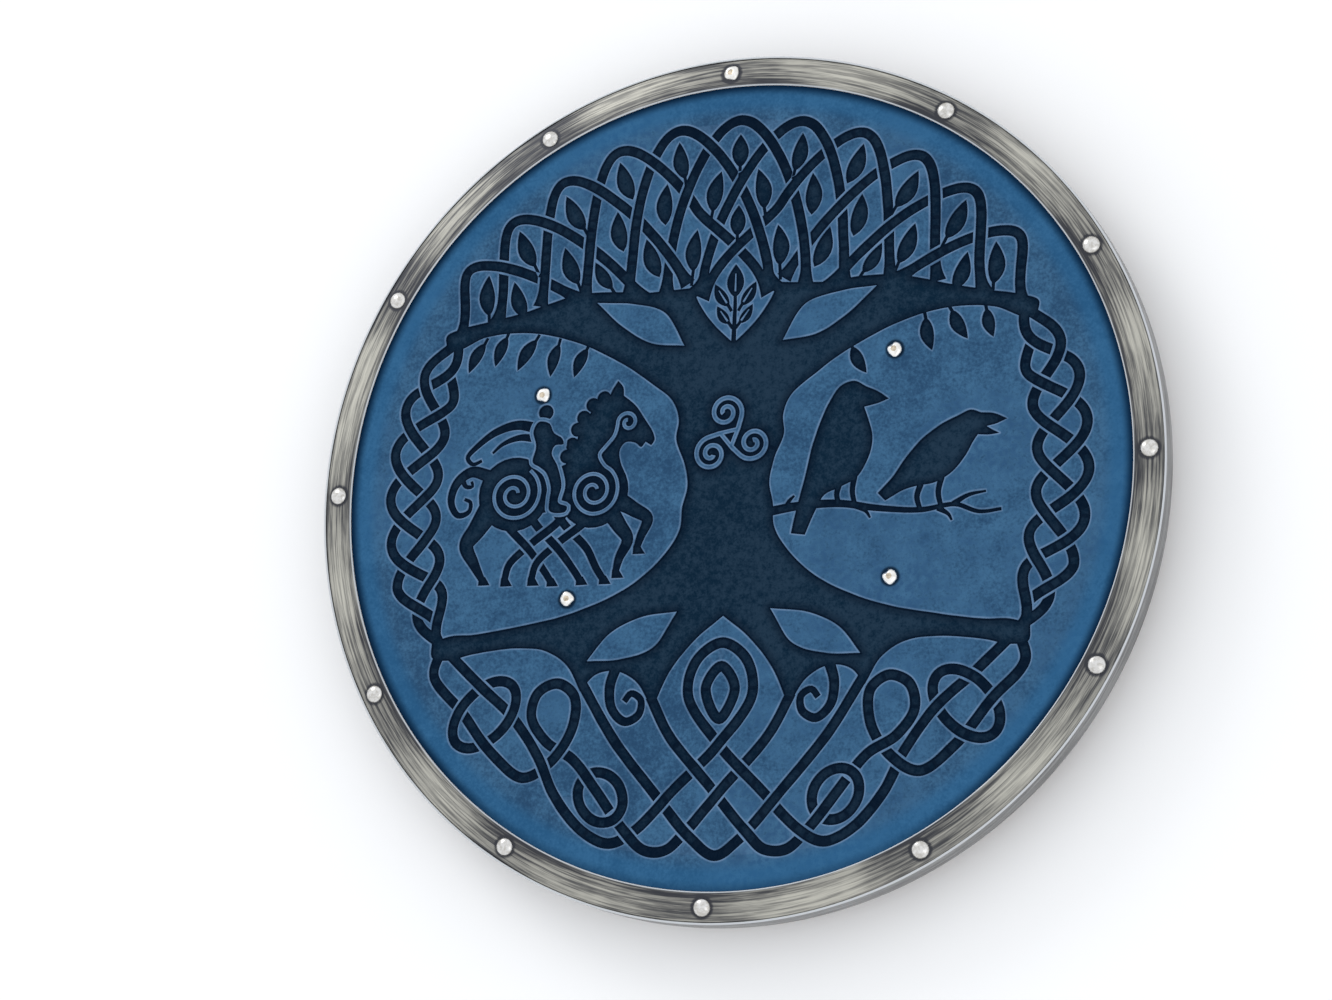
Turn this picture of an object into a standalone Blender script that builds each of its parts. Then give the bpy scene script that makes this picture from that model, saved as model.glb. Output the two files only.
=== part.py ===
"""A round shield, leather face up, lying on the two straps at its back.

The wooden board carries a leather facing tooled with a world tree: knotwork crown, plaited sides,
interlaced roots, a three-armed spiral on the trunk, a rider on an eight-legged horse and two ravens.
A steel ring frames the face, a steel hoop closes the edge, and four through-rivets hold two leather
straps.  Metres, +Z up, origin on the ground under the middle of the board.
"""
import math

import bmesh
import bpy
import numpy
from mathutils import Vector
from mathutils.geometry import delaunay_2d_cdt

# driving dimensions, metres
shieldRadius = 0.305
fit = 0.0003                # clearance between pieces that touch
ringSides = 56

boardRadius = 0.3028
boardThickness = 0.0150
edgeDrop = 0.0029           # fall of the face from the inner edge of the rim to the outside

leatherThickness = 0.0030
toolDepth = 0.0011
outlineError = 0.00145      # most that the faceted tooling departs from its curves
smallestArea = 0.000008     # square metres, the least patch that is sunk or left standing

rimInner = 0.2829
rimOuter = 0.3030
rimThickness = 0.0012
hoopThickness = 0.0015
hoopBackWidth = 0.0180
hoopLip = 0.0008            # height of the hoop's edge over the rim beside it

rimRivetTurns = (-1.7, 30.4, 59.2, 88.4, 117.6, 150.7, 181.4, 211.2, 240.9, 270.2, 299.2, 330.6)
rimRivetCircle = 0.2937     # the rivets are set by eye, so their turns, in degrees from the top, are uneven
rimRivetRadius = 0.0062
rimRivetHeight = 0.0030

strapRivets = {
    "left": ((-0.1400, 0.0668), (-0.1147, -0.0799)),
    "right": ((0.1168, 0.0857), (0.1177, -0.0720)),
}
strapRivetRadius = 0.0052
strapRivetHeight = 0.0026
strapShankRadius = 0.0025
tailRadius = 0.0037         # peened end of a strap rivet
tailHeight = 0.0014
washerRadius = 0.0070
washerThickness = 0.0012

strapWidth = 0.0360
strapThickness = 0.0036
strapRise = 0.0290          # from the back of the board to the underside of the strap's crown
strapTab = 0.0170           # how far a strap runs on past its rivet
tabRound = 0.0120           # rounding of a strap's corners
strapBend = 0.0140          # from a rivet to where its strap leaves the board
strapRamp = 0.0520          # from a rivet to where its strap runs level

boreRadius = 0.0029
boreSides = 8
rivetSides = 8

# heights, from the ground up
boardBottom = strapRise
hoopBottom = boardBottom - fit - hoopThickness
boardTop = boardBottom + boardThickness
leatherBottom = boardTop + fit
leatherTop = leatherBottom + leatherThickness

# the tooled design, in shares of the shield's radius, x right and y up
strandWidth = 0.0245
ridgeWidth = 0.0046         # raised line left beside a strand that passes over another
crownEdge = 0.848
archCount = 5               # arches on each side of the middle one
archStep = 10.3             # degrees from one arch to the next
braidRadius = 0.772
braidSwing = 0.058
braidWave = 23.0            # degrees to one full swing of a plaited strand
braidTop = 62.0
braidBottom = 117.0
leafGap = 0.0035            # raised leather left between a leaf and a strand
leafWidth = 0.4             # share of a leaf's length
leafBow = 0.05              # how far a leaf's middle bows, a share of its length
pitch = 0.006               # between the points of a curve


# drawing
def mixPoints(a, b, share):
    return (a[0] + (b[0] - a[0]) * share, a[1] + (b[1] - a[1]) * share)


def smoothPath(points, closed=False):
    """A spline through the points."""
    before, after = mixPoints(points[1], points[0], 2), mixPoints(points[-2], points[-1], 2)
    run = [before] + list(points) + [after]
    if closed:
        run = [points[-1]] + list(points) + [points[0], points[1]]
    path = []
    for a, b, c, d in zip(run, run[1:], run[2:], run[3:]):
        ta, tb = 0.0, math.dist(a, b) ** 0.5
        tc = tb + math.dist(b, c) ** 0.5
        td = tc + math.dist(c, d) ** 0.5
        count = max(2, round(math.dist(b, c) / pitch))
        for k in range(count):
            t = tb + (tc - tb) * k / count
            ab = mixPoints(a, b, (t - ta) / (tb - ta))
            bc = mixPoints(b, c, (t - tb) / (tc - tb))
            cd = mixPoints(c, d, (t - tc) / (td - tc))
            first = mixPoints(ab, bc, (t - ta) / (tc - ta))
            second = mixPoints(bc, cd, (t - tb) / (td - tb))
            path.append(mixPoints(first, second, (t - tb) / (tc - tb)))
    if not closed:
        path.append(tuple(points[-1]))
    return path


def outline(*runs):
    """Smooth runs that meet at corners."""
    points = []
    for run in runs:
        points += smoothPath(run)[:-1]
    if math.dist(runs[0][0], runs[-1][-1]) > 1e-9:
        points.append(runs[-1][-1])
    return points


def mirrored(points):
    return [(-x, y) for x, y in points]


def atTurn(radius, degrees):
    """Clockwise from straight up."""
    turn = math.radians(degrees)
    return (radius * math.sin(turn), radius * math.cos(turn))


def ringPath(x, y, long, short, lean):
    path = []
    for k in range(24):
        turn = 2 * math.pi * k / 24
        u, v = long * math.cos(turn), short * math.sin(turn)
        across = u * math.cos(lean) - v * math.sin(lean)
        path.append((x + across, y + u * math.sin(lean) + v * math.cos(lean)))
    return smoothPath(path, True)


def spiralPath(x, y, outer, inner, start, turns):
    """Clockwise where turns is negative."""
    count = round(abs(turns) * 20)
    path = []
    for k in range(count + 1):
        turn = math.radians(start) + 2 * math.pi * turns * k / count
        radius = outer + (inner - outer) * k / count
        path.append((x + radius * math.cos(turn), y + radius * math.sin(turn)))
    return path


def disc(x, y, radius, count=12):
    turns = [2 * math.pi * k / count for k in range(count)]
    return [(x + radius * math.cos(turn), y + radius * math.sin(turn)) for turn in turns]


def leaf(x, y, lean, long, wide):
    """Lean is its turn from straight up; the middle bows to one side."""
    turn = math.radians(lean)
    ax, ay = math.sin(turn), math.cos(turn)
    count = 9
    rim = []
    for k in range(2 * count):
        share = k / count if k < count else 2 - k / count
        along = (share - 0.5) * long
        swell = wide / 2 * math.sin(math.pi * share ** 0.85) ** 0.9 if 0 < share < 1 else 0.0
        out = (swell if k < count else -swell) + leafBow * long * math.sin(math.pi * share)
        rim.append((x + ax * along + ay * out, y + ay * along - ax * out))
    return rim


# the tree: trunk, limbs and roots as one sunk shape, with raised windows in its forks
def treeOutline():
    notch = [(0, 0.318), (0.05, 0.366), (0.085, 0.415), (0.103, 0.455)]
    limb = [(0.103, 0.455), (0.15, 0.452), (0.215, 0.45), (0.3, 0.457), (0.38, 0.455), (0.45, 0.44),
            (0.52, 0.421), (0.6, 0.405), (0.675, 0.39), (0.71, 0.375), (0.708, 0.345)]
    trunk = [(0.708, 0.345), (0.675, 0.34), (0.61, 0.366), (0.5, 0.37), (0.38, 0.34), (0.27, 0.285),
             (0.2, 0.238), (0.142, 0.19), (0.125, 0.145), (0.129, 0.1), (0.108, 0.045), (0.098, -0.01),
             (0.108, -0.06), (0.112, -0.11), (0.148, -0.168), (0.23, -0.238), (0.36, -0.293), (0.5, -0.322),
             (0.6, -0.336), (0.66, -0.338), (0.705, -0.352)]
    root = [(0.705, -0.352), (0.702, -0.388), (0.665, -0.395), (0.6, -0.382), (0.5, -0.372),
            (0.425, -0.38), (0.37, -0.415), (0.335, -0.475)]
    sole = [(0.335, -0.475), (0.3, -0.438), (0.25, -0.43), (0.2, -0.457), (0.16, -0.52)]
    heel = [(0.16, -0.52), (0.118, -0.43), (0.06, -0.36), (0, -0.312)]
    half = outline(notch, limb, trunk, root, sole, heel)
    return half + mirrored(half[1:-1])[::-1]


def treeWindows():
    limb = outline([(0.118, 0.318), (0.17, 0.4), (0.25, 0.425), (0.335, 0.432)],
                   [(0.335, 0.432), (0.27, 0.372), (0.2, 0.33), (0.118, 0.318)])
    root = outline([(0.11, -0.298), (0.165, -0.378), (0.24, -0.402), (0.322, -0.405)],
                   [(0.322, -0.405), (0.272, -0.345), (0.2, -0.31), (0.11, -0.298)])
    return [limb, mirrored(limb), root, mirrored(root)]


# the crown: a row of crossing arches over the limbs, with a leaf in each mesh
def crownPoint(level, degrees):
    low = 0.477 + 0.35 * (max(0.0, abs(degrees) - 24) / 44) ** 1.2
    return atTurn(low + (crownEdge - low) * level, degrees)


def crownArch(index):
    spread = 20.5 - 10.0 * (index / archCount) ** 2
    roundness = 0.24
    foot = math.hypot(1, roundness)
    path = []
    for k in range(29):
        along = k / 14 - 1
        level = (foot - math.hypot(along, roundness)) / (foot - roundness)
        path.append(crownPoint(level, archStep * index + spread * along))
    return path


def crownStrands():
    """The inner feet of the second pair cross over the notch of the trunk."""
    strands = []
    for index in range(-archCount, archCount + 1):
        path = crownArch(index)
        side = -1 if index > 0 else 1
        if abs(index) == 1:
            path = path + [(0.12, 0.425)] if index < 0 else [(-0.12, 0.425)] + path
        if abs(index) == 2:
            foot = [(0, 0.545), (side * 0.048, 0.49), (side * 0.08, 0.428)]
            path = path[:-5] + foot if index < 0 else foot[::-1] + path[5:]
        strands.append(path)
    return [smoothPath(path) for path in strands]


def crownLeaves():
    """The meshes of the right half of the crown filled with leaves, the largest first."""
    taken = []
    for path, closed, halves in map(flaredStrand, crownStrands()):
        taken += [(x, y, half) for (x, y), half in zip(path, halves) if x > -0.1]
    taken += [(x, y, 0.0) for x, y in treeOutline() if x > -0.1 and y > 0.3]
    taken += [(x, y, 0.0) for spec in sprigLeaves() for x, y in leaf(*spec)]
    spots = [(level / 20, degrees * 1.5) for degrees in range(36) for level in range(2, 18)]
    specs = []
    for step in range(8):
        long = 0.1 - 0.0062 * step
        for level, degrees in spots:
            place = crownPoint(level, degrees)
            near = numpy.array([item for item in taken if abs(item[0] - place[0]) < 0.07
                                and abs(item[1] - place[1]) < 0.07])
            if numpy.hypot(near[:, 0] - place[0], near[:, 1] - place[1]).min() < long * 0.29:
                continue
            leans = [degrees + lean for lean in (0, -15, 15, -30, 30, -50, 50)] if degrees else [0]
            for lean in leans:
                rim = numpy.array(leaf(*place, lean, long, long * leafWidth))
                gaps = numpy.hypot(rim[:, :1] - near[:, 0], rim[:, 1:] - near[:, 1]) - near[:, 2]
                if gaps.min() > leafGap:
                    specs.append((*place, lean, long, long * leafWidth))
                    taken += [(x, y, 0.0) for x, y in rim] + [(-x, y, 0.0) for x, y in rim if x < 0.1]
                    break
    return specs


def sprigLeaves():
    """In the notch of the trunk."""
    return [(0, 0.464, 0, 0.08, 0.034), (0.032, 0.432, 32, 0.066, 0.028), (0.027, 0.385, 36, 0.054, 0.024)]


def hangingLeaves():
    """Under the limbs, clear of the rivets."""
    left = [(-0.37, 0.292, 204, 0.074, 0.03), (-0.435, 0.302, 194, 0.08, 0.03),
            (-0.505, 0.318, 212, 0.086, 0.032), (-0.57, 0.33, 200, 0.076, 0.03),
            (-0.63, 0.318, 208, 0.08, 0.03)]
    right = [(0.3, 0.262, 150, 0.074, 0.03), (0.46, 0.312, 168, 0.08, 0.032),
             (0.53, 0.33, 150, 0.08, 0.032), (0.6, 0.33, 165, 0.07, 0.03)]
    return left + right


# the sides: three plaited strands from limb to root
def braidStrand(index):
    path = []
    count = 44
    for k in range(count + 1):
        share = k / count
        degrees = braidTop + (braidBottom - braidTop) * share
        fade = min(1.0, 5 * min(share, 1 - share)) ** 0.7
        wave = math.sin(2 * math.pi * ((degrees - braidTop) / braidWave + index / 3))
        path.append(atTurn(braidRadius + braidSwing * fade * wave, degrees))
    return smoothPath(path)


# the foot: strands that fall from the roots, turn near the edge and climb again
def rootStrands():
    drop = [(0.332, -0.455), (0.25, -0.585), (0.15, -0.705), (0.055, -0.812), (0, -0.848)]
    coil = [(0, -0.372), (0.058, -0.41), (0.075, -0.49), (0, -0.6), (-0.1, -0.7), (-0.19, -0.79),
            (-0.25, -0.818), (-0.315, -0.79), (-0.385, -0.71), (-0.43, -0.62), (-0.5, -0.525),
            (-0.58, -0.455), (-0.67, -0.37)]
    swing = [(-0.165, -0.49), (-0.12, -0.575), (-0.02, -0.69), (0.07, -0.795), (0.115, -0.835),
             (0.165, -0.835), (0.215, -0.79), (0.29, -0.695), (0.345, -0.628), (0.41, -0.588),
             (0.449, -0.53), (0.436, -0.475), (0.39, -0.455), (0.348, -0.485), (0.35, -0.56),
             (0.4, -0.635), (0.465, -0.668), (0.545, -0.61), (0.62, -0.515), (0.695, -0.43),
             (0.68, -0.37)]
    paths = [smoothPath(drop + mirrored(drop[:-1])[::-1]), smoothPath(mirrored(coil)[::-1] + coil[1:])]
    return paths + [smoothPath(swing), smoothPath(mirrored(swing))]


def rootRings():
    rings = [smoothPath([(0, -0.425), (0.034, -0.475), (0, -0.545), (-0.034, -0.475)], True)]
    for ring in (ringPath(0.275, -0.715, 0.06, 0.05, 0.9), ringPath(0.565, -0.522, 0.092, 0.056, -0.785)):
        rings += [ring, mirrored(ring)]
    return rings


def rootCurl():
    """A shoot that hangs between two roots and curls up."""
    return smoothPath([(0.25, -0.42), (0.264, -0.468), (0.256, -0.518), (0.224, -0.546), (0.192, -0.53),
                       (0.188, -0.497), (0.212, -0.482), (0.228, -0.5)])


# the rider, looking right
def horseShapes():
    """Haunch and shoulder are round; the neck rises from the shoulder."""
    trunk = smoothPath([(-0.52, 0.07), (-0.43, 0.046), (-0.345, 0.066), (-0.33, -0.02), (-0.37, -0.062),
                        (-0.44, -0.058), (-0.5, -0.07), (-0.54, 0)], True)
    neck = [(-0.4, 0.048), (-0.378, 0.09), (-0.36, 0.14), (-0.332, 0.182), (-0.296, 0.205)]
    ear = (-0.276, 0.244)
    face = [(-0.26, 0.208), (-0.232, 0.186), (-0.205, 0.15), (-0.184, 0.118), (-0.18, 0.1), (-0.188, 0.088)]
    jaw = [(-0.202, 0.097), (-0.212, 0.085), (-0.226, 0.096), (-0.25, 0.098), (-0.264, 0.08), (-0.26, 0.052),
           (-0.25, 0.03)]
    head = outline(neck, [neck[-1], (-0.29, 0.222), ear], [ear, (-0.262, 0.228), face[0]], face,
                   [face[-1], jaw[0]], jaw, [jaw[-1], (-0.3, -0.02), (-0.38, 0)])
    return [disc(-0.52, -0.012, 0.088, 30), disc(-0.325, -0.012, 0.086, 30), trunk, head]


def horseLegs():
    """Three hind and two fore legs cross; each runs down to a hoof."""
    legs = []
    for x, turn in ((-0.56, 0), (-0.488, 0), (-0.42, -0.012)):
        legs.append([(x, -0.05), (x + 0.03, -0.09), (x + 0.085, -0.145), (x + 0.125 + turn, -0.195),
                     (x + 0.14 + turn, -0.217)])
    for x in (-0.385, -0.318):
        legs.append([(x, -0.04), (x - 0.022, -0.08), (x - 0.082, -0.126), (x - 0.138, -0.175),
                     (x - 0.15, -0.214)])
    return [smoothPath(leg) for leg in legs]


def freeLegs():
    """The outer legs, with their widths at the body and the hoof."""
    legs = [([(-0.575, -0.04), (-0.607, -0.09), (-0.632, -0.128), (-0.612, -0.17), (-0.59, -0.21)], 0.06),
            ([(-0.29, -0.05), (-0.258, -0.095), (-0.236, -0.128), (-0.254, -0.17), (-0.262, -0.204)], 0.045),
            ([(-0.275, -0.03), (-0.225, -0.058), (-0.19, -0.082), (-0.204, -0.122), (-0.213, -0.15)], 0.045)]
    return [(smoothPath(leg), width) for leg, width in legs]


def hoof(path):
    """It spreads from the end of a leg, its toe to the right."""
    x, y = path[-1]
    return [(x - 0.008, y + 0.007), (x + 0.008, y + 0.007), (x + 0.021, y - 0.013), (x - 0.009, y - 0.013)]


def maneLocks():
    """Round locks down the back of the neck."""
    path = smoothPath([(-0.4, 0.062), (-0.382, 0.1), (-0.365, 0.146), (-0.335, 0.19), (-0.297, 0.21)])
    places = [path[round((len(path) - 1) * (k + 0.3) / 5.6)] for k in range(6)]
    return [disc(*place, 0.017) for place in places]


def riderOutline():
    return smoothPath([(-0.478, 0.062), (-0.472, 0.1), (-0.48, 0.135), (-0.468, 0.157), (-0.44, 0.152),
                       (-0.428, 0.13), (-0.408, 0.116), (-0.404, 0.102), (-0.424, 0.1), (-0.432, 0.082),
                       (-0.416, 0.05), (-0.404, 0.005), (-0.41, -0.035), (-0.388, -0.046), (-0.392, -0.058),
                       (-0.43, -0.055), (-0.432, -0.03), (-0.43, 0), (-0.443, 0.035), (-0.46, 0.05)], True)


def riderStrands():
    """The horse's tail and the rider's cloak, each with its width at the root and the tip."""
    tail = [(-0.585, 0.035), (-0.628, 0.046), (-0.665, 0.02), (-0.676, -0.025), (-0.656, -0.056),
            (-0.63, -0.048), (-0.628, -0.026), (-0.643, -0.018)]
    lock = [(-0.652, 0.034), (-0.64, 0.012), (-0.624, 0.012), (-0.627, 0.024)]
    cloak = [(-0.47, 0.142), (-0.52, 0.152), (-0.572, 0.138), (-0.615, 0.108), (-0.64, 0.08), (-0.626, 0.064),
             (-0.604, 0.072)]
    fold = [(-0.472, 0.118), (-0.515, 0.122), (-0.555, 0.108), (-0.578, 0.088)]
    return [(smoothPath(tail), 0.03, 0.008), (smoothPath(lock), 0.014, 0.007),
            (smoothPath(cloak), 0.026, 0.008), (smoothPath(fold), 0.02, 0.006)]


# the ravens on their twig, both looking right, the second one calling
def ravenOutlines():
    standing = outline(
        [(0.372, 0.168), (0.347, 0.186), (0.318, 0.2)],
        [(0.318, 0.2), (0.29, 0.214), (0.257, 0.203), (0.232, 0.167), (0.212, 0.12), (0.196, 0.07),
         (0.184, 0.015), (0.17, -0.045), (0.16, -0.09), (0.152, -0.13)],
        [(0.152, -0.13), (0.185, -0.134)],
        [(0.185, -0.134), (0.203, -0.09), (0.228, -0.045), (0.262, -0.03), (0.302, -0.008),
         (0.328, 0.035), (0.336, 0.08), (0.326, 0.12), (0.315, 0.152)],
        [(0.315, 0.152), (0.34, 0.157), (0.372, 0.168)])
    calling = outline(
        [(0.645, 0.108), (0.612, 0.123), (0.585, 0.126)],
        [(0.585, 0.126), (0.56, 0.134), (0.53, 0.122), (0.49, 0.103), (0.45, 0.073), (0.415, 0.033),
         (0.384, -0.012), (0.352, -0.046)],
        [(0.352, -0.046), (0.37, -0.064)],
        [(0.37, -0.064), (0.41, -0.042), (0.44, -0.034), (0.48, -0.028), (0.52, -0.006), (0.55, 0.03),
         (0.566, 0.058), (0.578, 0.076)],
        [(0.578, 0.076), (0.602, 0.074), (0.628, 0.076)],
        [(0.628, 0.076), (0.61, 0.086), (0.598, 0.094)],
        [(0.598, 0.094), (0.62, 0.098), (0.645, 0.108)])
    return [standing, calling]


def twigStrands():
    """The twig and the ravens' legs, with their widths at root and tip."""
    stem = [(0.09, -0.08), (0.17, -0.068), (0.26, -0.066), (0.35, -0.08), (0.45, -0.088),
            (0.53, -0.078), (0.585, -0.097), (0.635, -0.094)]
    legs = [[(0.262, -0.02), (0.262, -0.07)], [(0.297, -0.002), (0.3, -0.074)],
            [(0.45, -0.03), (0.45, -0.088)], [(0.497, -0.015), (0.498, -0.084)]]
    return [(smoothPath(stem), 0.022, 0.008)] + [(smoothPath(leg), 0.014, 0.011) for leg in legs]


def triskeleArms():
    """The three-armed spiral that stands up out of the trunk."""
    x, y = 0, 0.1
    arms = []
    for turn in (-18, 102, 222):
        reach, lead = math.radians(turn), math.radians(turn - 62)
        curl = (x + 0.058 * math.cos(reach), y + 0.058 * math.sin(reach))
        spiral = spiralPath(*curl, 0.039, 0.006, turn - 112, 1.6)
        arms.append(smoothPath([(x + 0.024 * math.cos(lead), y + 0.024 * math.sin(lead))] + spiral))
    return arms


# weaving: where strands cross, one passes under and stops short of the other
def edgePoint(strand, index, side):
    path, closed, halves = strand
    count = len(path)
    if closed:
        a, b = path[(index - 1) % count], path[(index + 1) % count]
    else:
        a, b = path[max(index - 1, 0)], path[min(index + 1, count - 1)]
    size = math.dist(a, b)
    x, y = path[index % count]
    out = side * halves[index % count] / size
    return (x - (b[1] - a[1]) * out, y + (b[0] - a[0]) * out)


def strandEdge(strand, low, high, side):
    return [edgePoint(strand, k, side) for k in range(low, high + 1)]


def ribbon(strand, low, high):
    """The outline of a stretch of a strand."""
    return strandEdge(strand, low, high, -1) + strandEdge(strand, low, high, 1)[::-1]


def plainRibbons(path, rootWidth, tipWidth):
    """A tapering strand that weaves with nothing, as short stretches."""
    last = len(path) - 1
    halves = [(rootWidth + (tipWidth - rootWidth) * k / last) / 2 for k in range(last + 1)]
    strand = (path, False, halves)
    stretch = 12
    return [ribbon(strand, low, min(low + stretch, last)) for low in range(0, last, stretch)]


def segmentMeeting(a, b, c, d):
    rx, ry, sx, sy = b[0] - a[0], b[1] - a[1], d[0] - c[0], d[1] - c[1]
    cross = rx * sy - ry * sx
    if abs(cross) < 1e-12:
        return None
    t = ((c[0] - a[0]) * sy - (c[1] - a[1]) * sx) / cross
    u = ((c[0] - a[0]) * ry - (c[1] - a[1]) * rx) / cross
    return (t, u) if 0 <= t < 1 and 0 <= u < 1 else None


def findCrossings(strands):
    """Every place where two strands cross, as (strand, place, strand, place)."""
    cellSize = 0.02
    endClear = 7
    cells = {}
    for s, (path, closed, halves) in enumerate(strands):
        for i in range(len(path) - (not closed)):
            a, b = path[i], path[(i + 1) % len(path)]
            spots = (a, mixPoints(a, b, 0.5), b)
            for cell in {(math.floor(x / cellSize), math.floor(y / cellSize)) for x, y in spots}:
                cells.setdefault(cell, []).append((s, i))
    found = {}
    for cell in sorted(cells):
        for k, (s, i) in enumerate(cells[cell]):
            for t, j in cells[cell][k + 1:]:
                first, second = strands[s][0], strands[t][0]
                if s == t and min(abs(i - j), len(first) - abs(i - j)) < 6:
                    continue
                ends = first[(i + 1) % len(first)], second[(j + 1) % len(second)]
                hit = segmentMeeting(first[i], ends[0], second[j], ends[1])
                if hit:
                    found[(s, i, t, j)] = (s, i + hit[0], t, j + hit[1])

    def inside(s, at):
        path, closed, halves = strands[s]
        return closed or endClear <= at <= len(path) - 1 - endClear
    return [c for key, c in sorted(found.items()) if inside(c[0], c[1]) and inside(c[2], c[3])]


def alternate(strands, crossings):
    """The crossings along each strand, and for each crossing which of its two strands is on top."""
    passes = [[] for strand in strands]
    for c, (s, i, t, j) in enumerate(crossings):
        passes[s].append((i, c, 0))
        passes[t].append((j, c, 1))
    links = [[] for crossing in crossings]
    for s, run in enumerate(passes):
        run.sort()
        pairs = list(zip(run, run[1:]))
        if strands[s][1] and len(run) > 2:
            pairs.append((run[-1], run[0]))
        for (unusedA, c, roleA), (unusedB, d, roleB) in pairs:
            links[c].append((d, roleA ^ roleB ^ 1))
            links[d].append((c, roleA ^ roleB ^ 1))
    top = [None] * len(crossings)
    for c in range(len(crossings)):
        if top[c] is None:
            top[c] = 0
            waiting = [c]
            while waiting:
                at = waiting.pop(0)
                for other, flip in links[at]:
                    if top[other] is None:
                        top[other] = top[at] ^ flip
                        waiting.append(other)
    return passes, top


def clearance(point, strand, place):
    """The distance from a point to the stretch of a strand about a place."""
    path, closed, halves = strand
    best = 1.0
    for k in range(math.floor(place) - 14, math.floor(place) + 14):
        if closed or 0 <= k < len(path) - 1:
            a, b = path[k % len(path)], path[(k + 1) % len(path)]
            dx, dy = b[0] - a[0], b[1] - a[1]
            t = ((point[0] - a[0]) * dx + (point[1] - a[1]) * dy) / (dx * dx + dy * dy)
            best = min(best, math.dist(point, mixPoints(a, b, min(1.0, max(0.0, t)))))
    return best


def cutEdge(strand, place, way, side, over, overPlace):
    """Where one edge of a strand stops short of the strand above it, and the next point along."""
    needed = over[2][math.floor(overPlace) % len(over[0])] + ridgeWidth
    index = math.floor(place) + (way > 0)
    before = None
    for step in range(40):
        if not strand[1] and not 0 <= index < len(strand[0]):
            break
        point = edgePoint(strand, index, side)
        gap = clearance(point, over, overPlace)
        if gap >= needed:
            if before is None:
                return point, index
            return mixPoints(before[0], point, (needed - before[1]) / (gap - before[1])), index
        before = (point, gap)
        index += way
    return None, index


def wovenRibbons(strands):
    crossings = findCrossings(strands)
    passes, top = alternate(strands, crossings)
    ribbons = []
    for s, strand in enumerate(strands):
        path, closed, halves = strand
        count, run = len(path), passes[s]
        marks = [round((a[0] + b[0]) / 2) for a, b in zip(run, run[1:])]
        if not run:
            marks = [0, count // 2, count if closed else count - 1]
            ribbons += [ribbon(strand, low, high) for low, high in zip(marks, marks[1:])]
            continue
        if closed:
            seam = round((run[-1][0] + run[0][0] + count) / 2)
            marks = [seam - count] + marks + [seam]
        else:
            marks = [0] + marks + [count - 1]
        for (place, c, role), low, high in zip(run, marks, marks[1:]):
            if role == top[c]:
                ribbons.append(ribbon(strand, low, high))
                continue
            other, otherPlace = crossings[c][2:] if role == 0 else crossings[c][:2]
            for way, end in ((-1, low), (1, high)):
                left, leftAt = cutEdge(strand, place, way, 1, strands[other], otherPlace)
                right, rightAt = cutEdge(strand, place, way, -1, strands[other], otherPlace)
                if left is None or right is None:
                    continue
                if (leftAt - end) * way > 0 or (rightAt - end) * way > 0:
                    continue
                if way < 0:
                    ribbons.append(strandEdge(strand, low, rightAt, -1) + [right, left]
                                   + strandEdge(strand, low, leftAt, 1)[::-1])
                else:
                    ribbons.append([right] + strandEdge(strand, rightAt, high, -1)
                                   + strandEdge(strand, leftAt, high, 1)[::-1] + [left])
    return ribbons


def evenStrand(path, closed=False, rootWidth=strandWidth, tipWidth=strandWidth):
    last = len(path) - 1
    return (path, closed, [(rootWidth + (tipWidth - rootWidth) * k / last) / 2 for k in range(last + 1)])


def flaredStrand(path):
    """Wider where it grows out of a limb."""
    flare, reach = 0.015, 0.05
    along = [0]
    for a, b in zip(path, path[1:]):
        along.append(along[-1] + math.dist(a, b))
    halves = []
    for place in along:
        share = max(0, 1 - min(place, along[-1] - place) / reach)
        halves.append((strandWidth + flare * share * share) / 2)
    return (path, False, halves)


def designShapes():
    """Every outline of the tooling from the bottom up, and whether it is sunk or raised."""
    strands = [flaredStrand(path) for path in crownStrands()] + [evenStrand(path) for path in rootStrands()]
    for index in range(3):
        path = braidStrand(index)
        strands += [evenStrand(path), evenStrand(mirrored(path))]
    strands += [evenStrand(path, True) for path in rootRings()]
    legs = horseLegs()
    strands += [evenStrand(path, False, 0.021, 0.017) for path in legs]
    leaves = [leaf(*spec) for spec in crownLeaves() + sprigLeaves()]
    leaves += [mirrored(shape) for shape in leaves] + [leaf(*spec) for spec in hangingLeaves()]
    figures = ravenOutlines() + maneLocks() + horseShapes() + [riderOutline(), disc(-0.45, 0.178, 0.0185)]
    shapes = [(True, treeOutline())] + [(False, window) for window in treeWindows()]
    shapes += [(True, shape) for shape in wovenRibbons(strands) + leaves + figures]
    shapes += [(True, hoof(path)) for path in legs + [leg[0] for leg in freeLegs()]]
    tapers = [(rootCurl(), 0.026, 0.015), (mirrored(rootCurl()), 0.026, 0.015)]
    tapers += twigStrands() + riderStrands() + [(*leg, 0.016) for leg in freeLegs()]
    for path, rootWidth, tipWidth in tapers:
        shapes += [(True, shape) for shape in plainRibbons(path, rootWidth, tipWidth)]
    for path in triskeleArms():
        shapes += [(False, shape) for shape in plainRibbons(path, 0.0105, 0.0105)]
    return shapes


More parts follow.
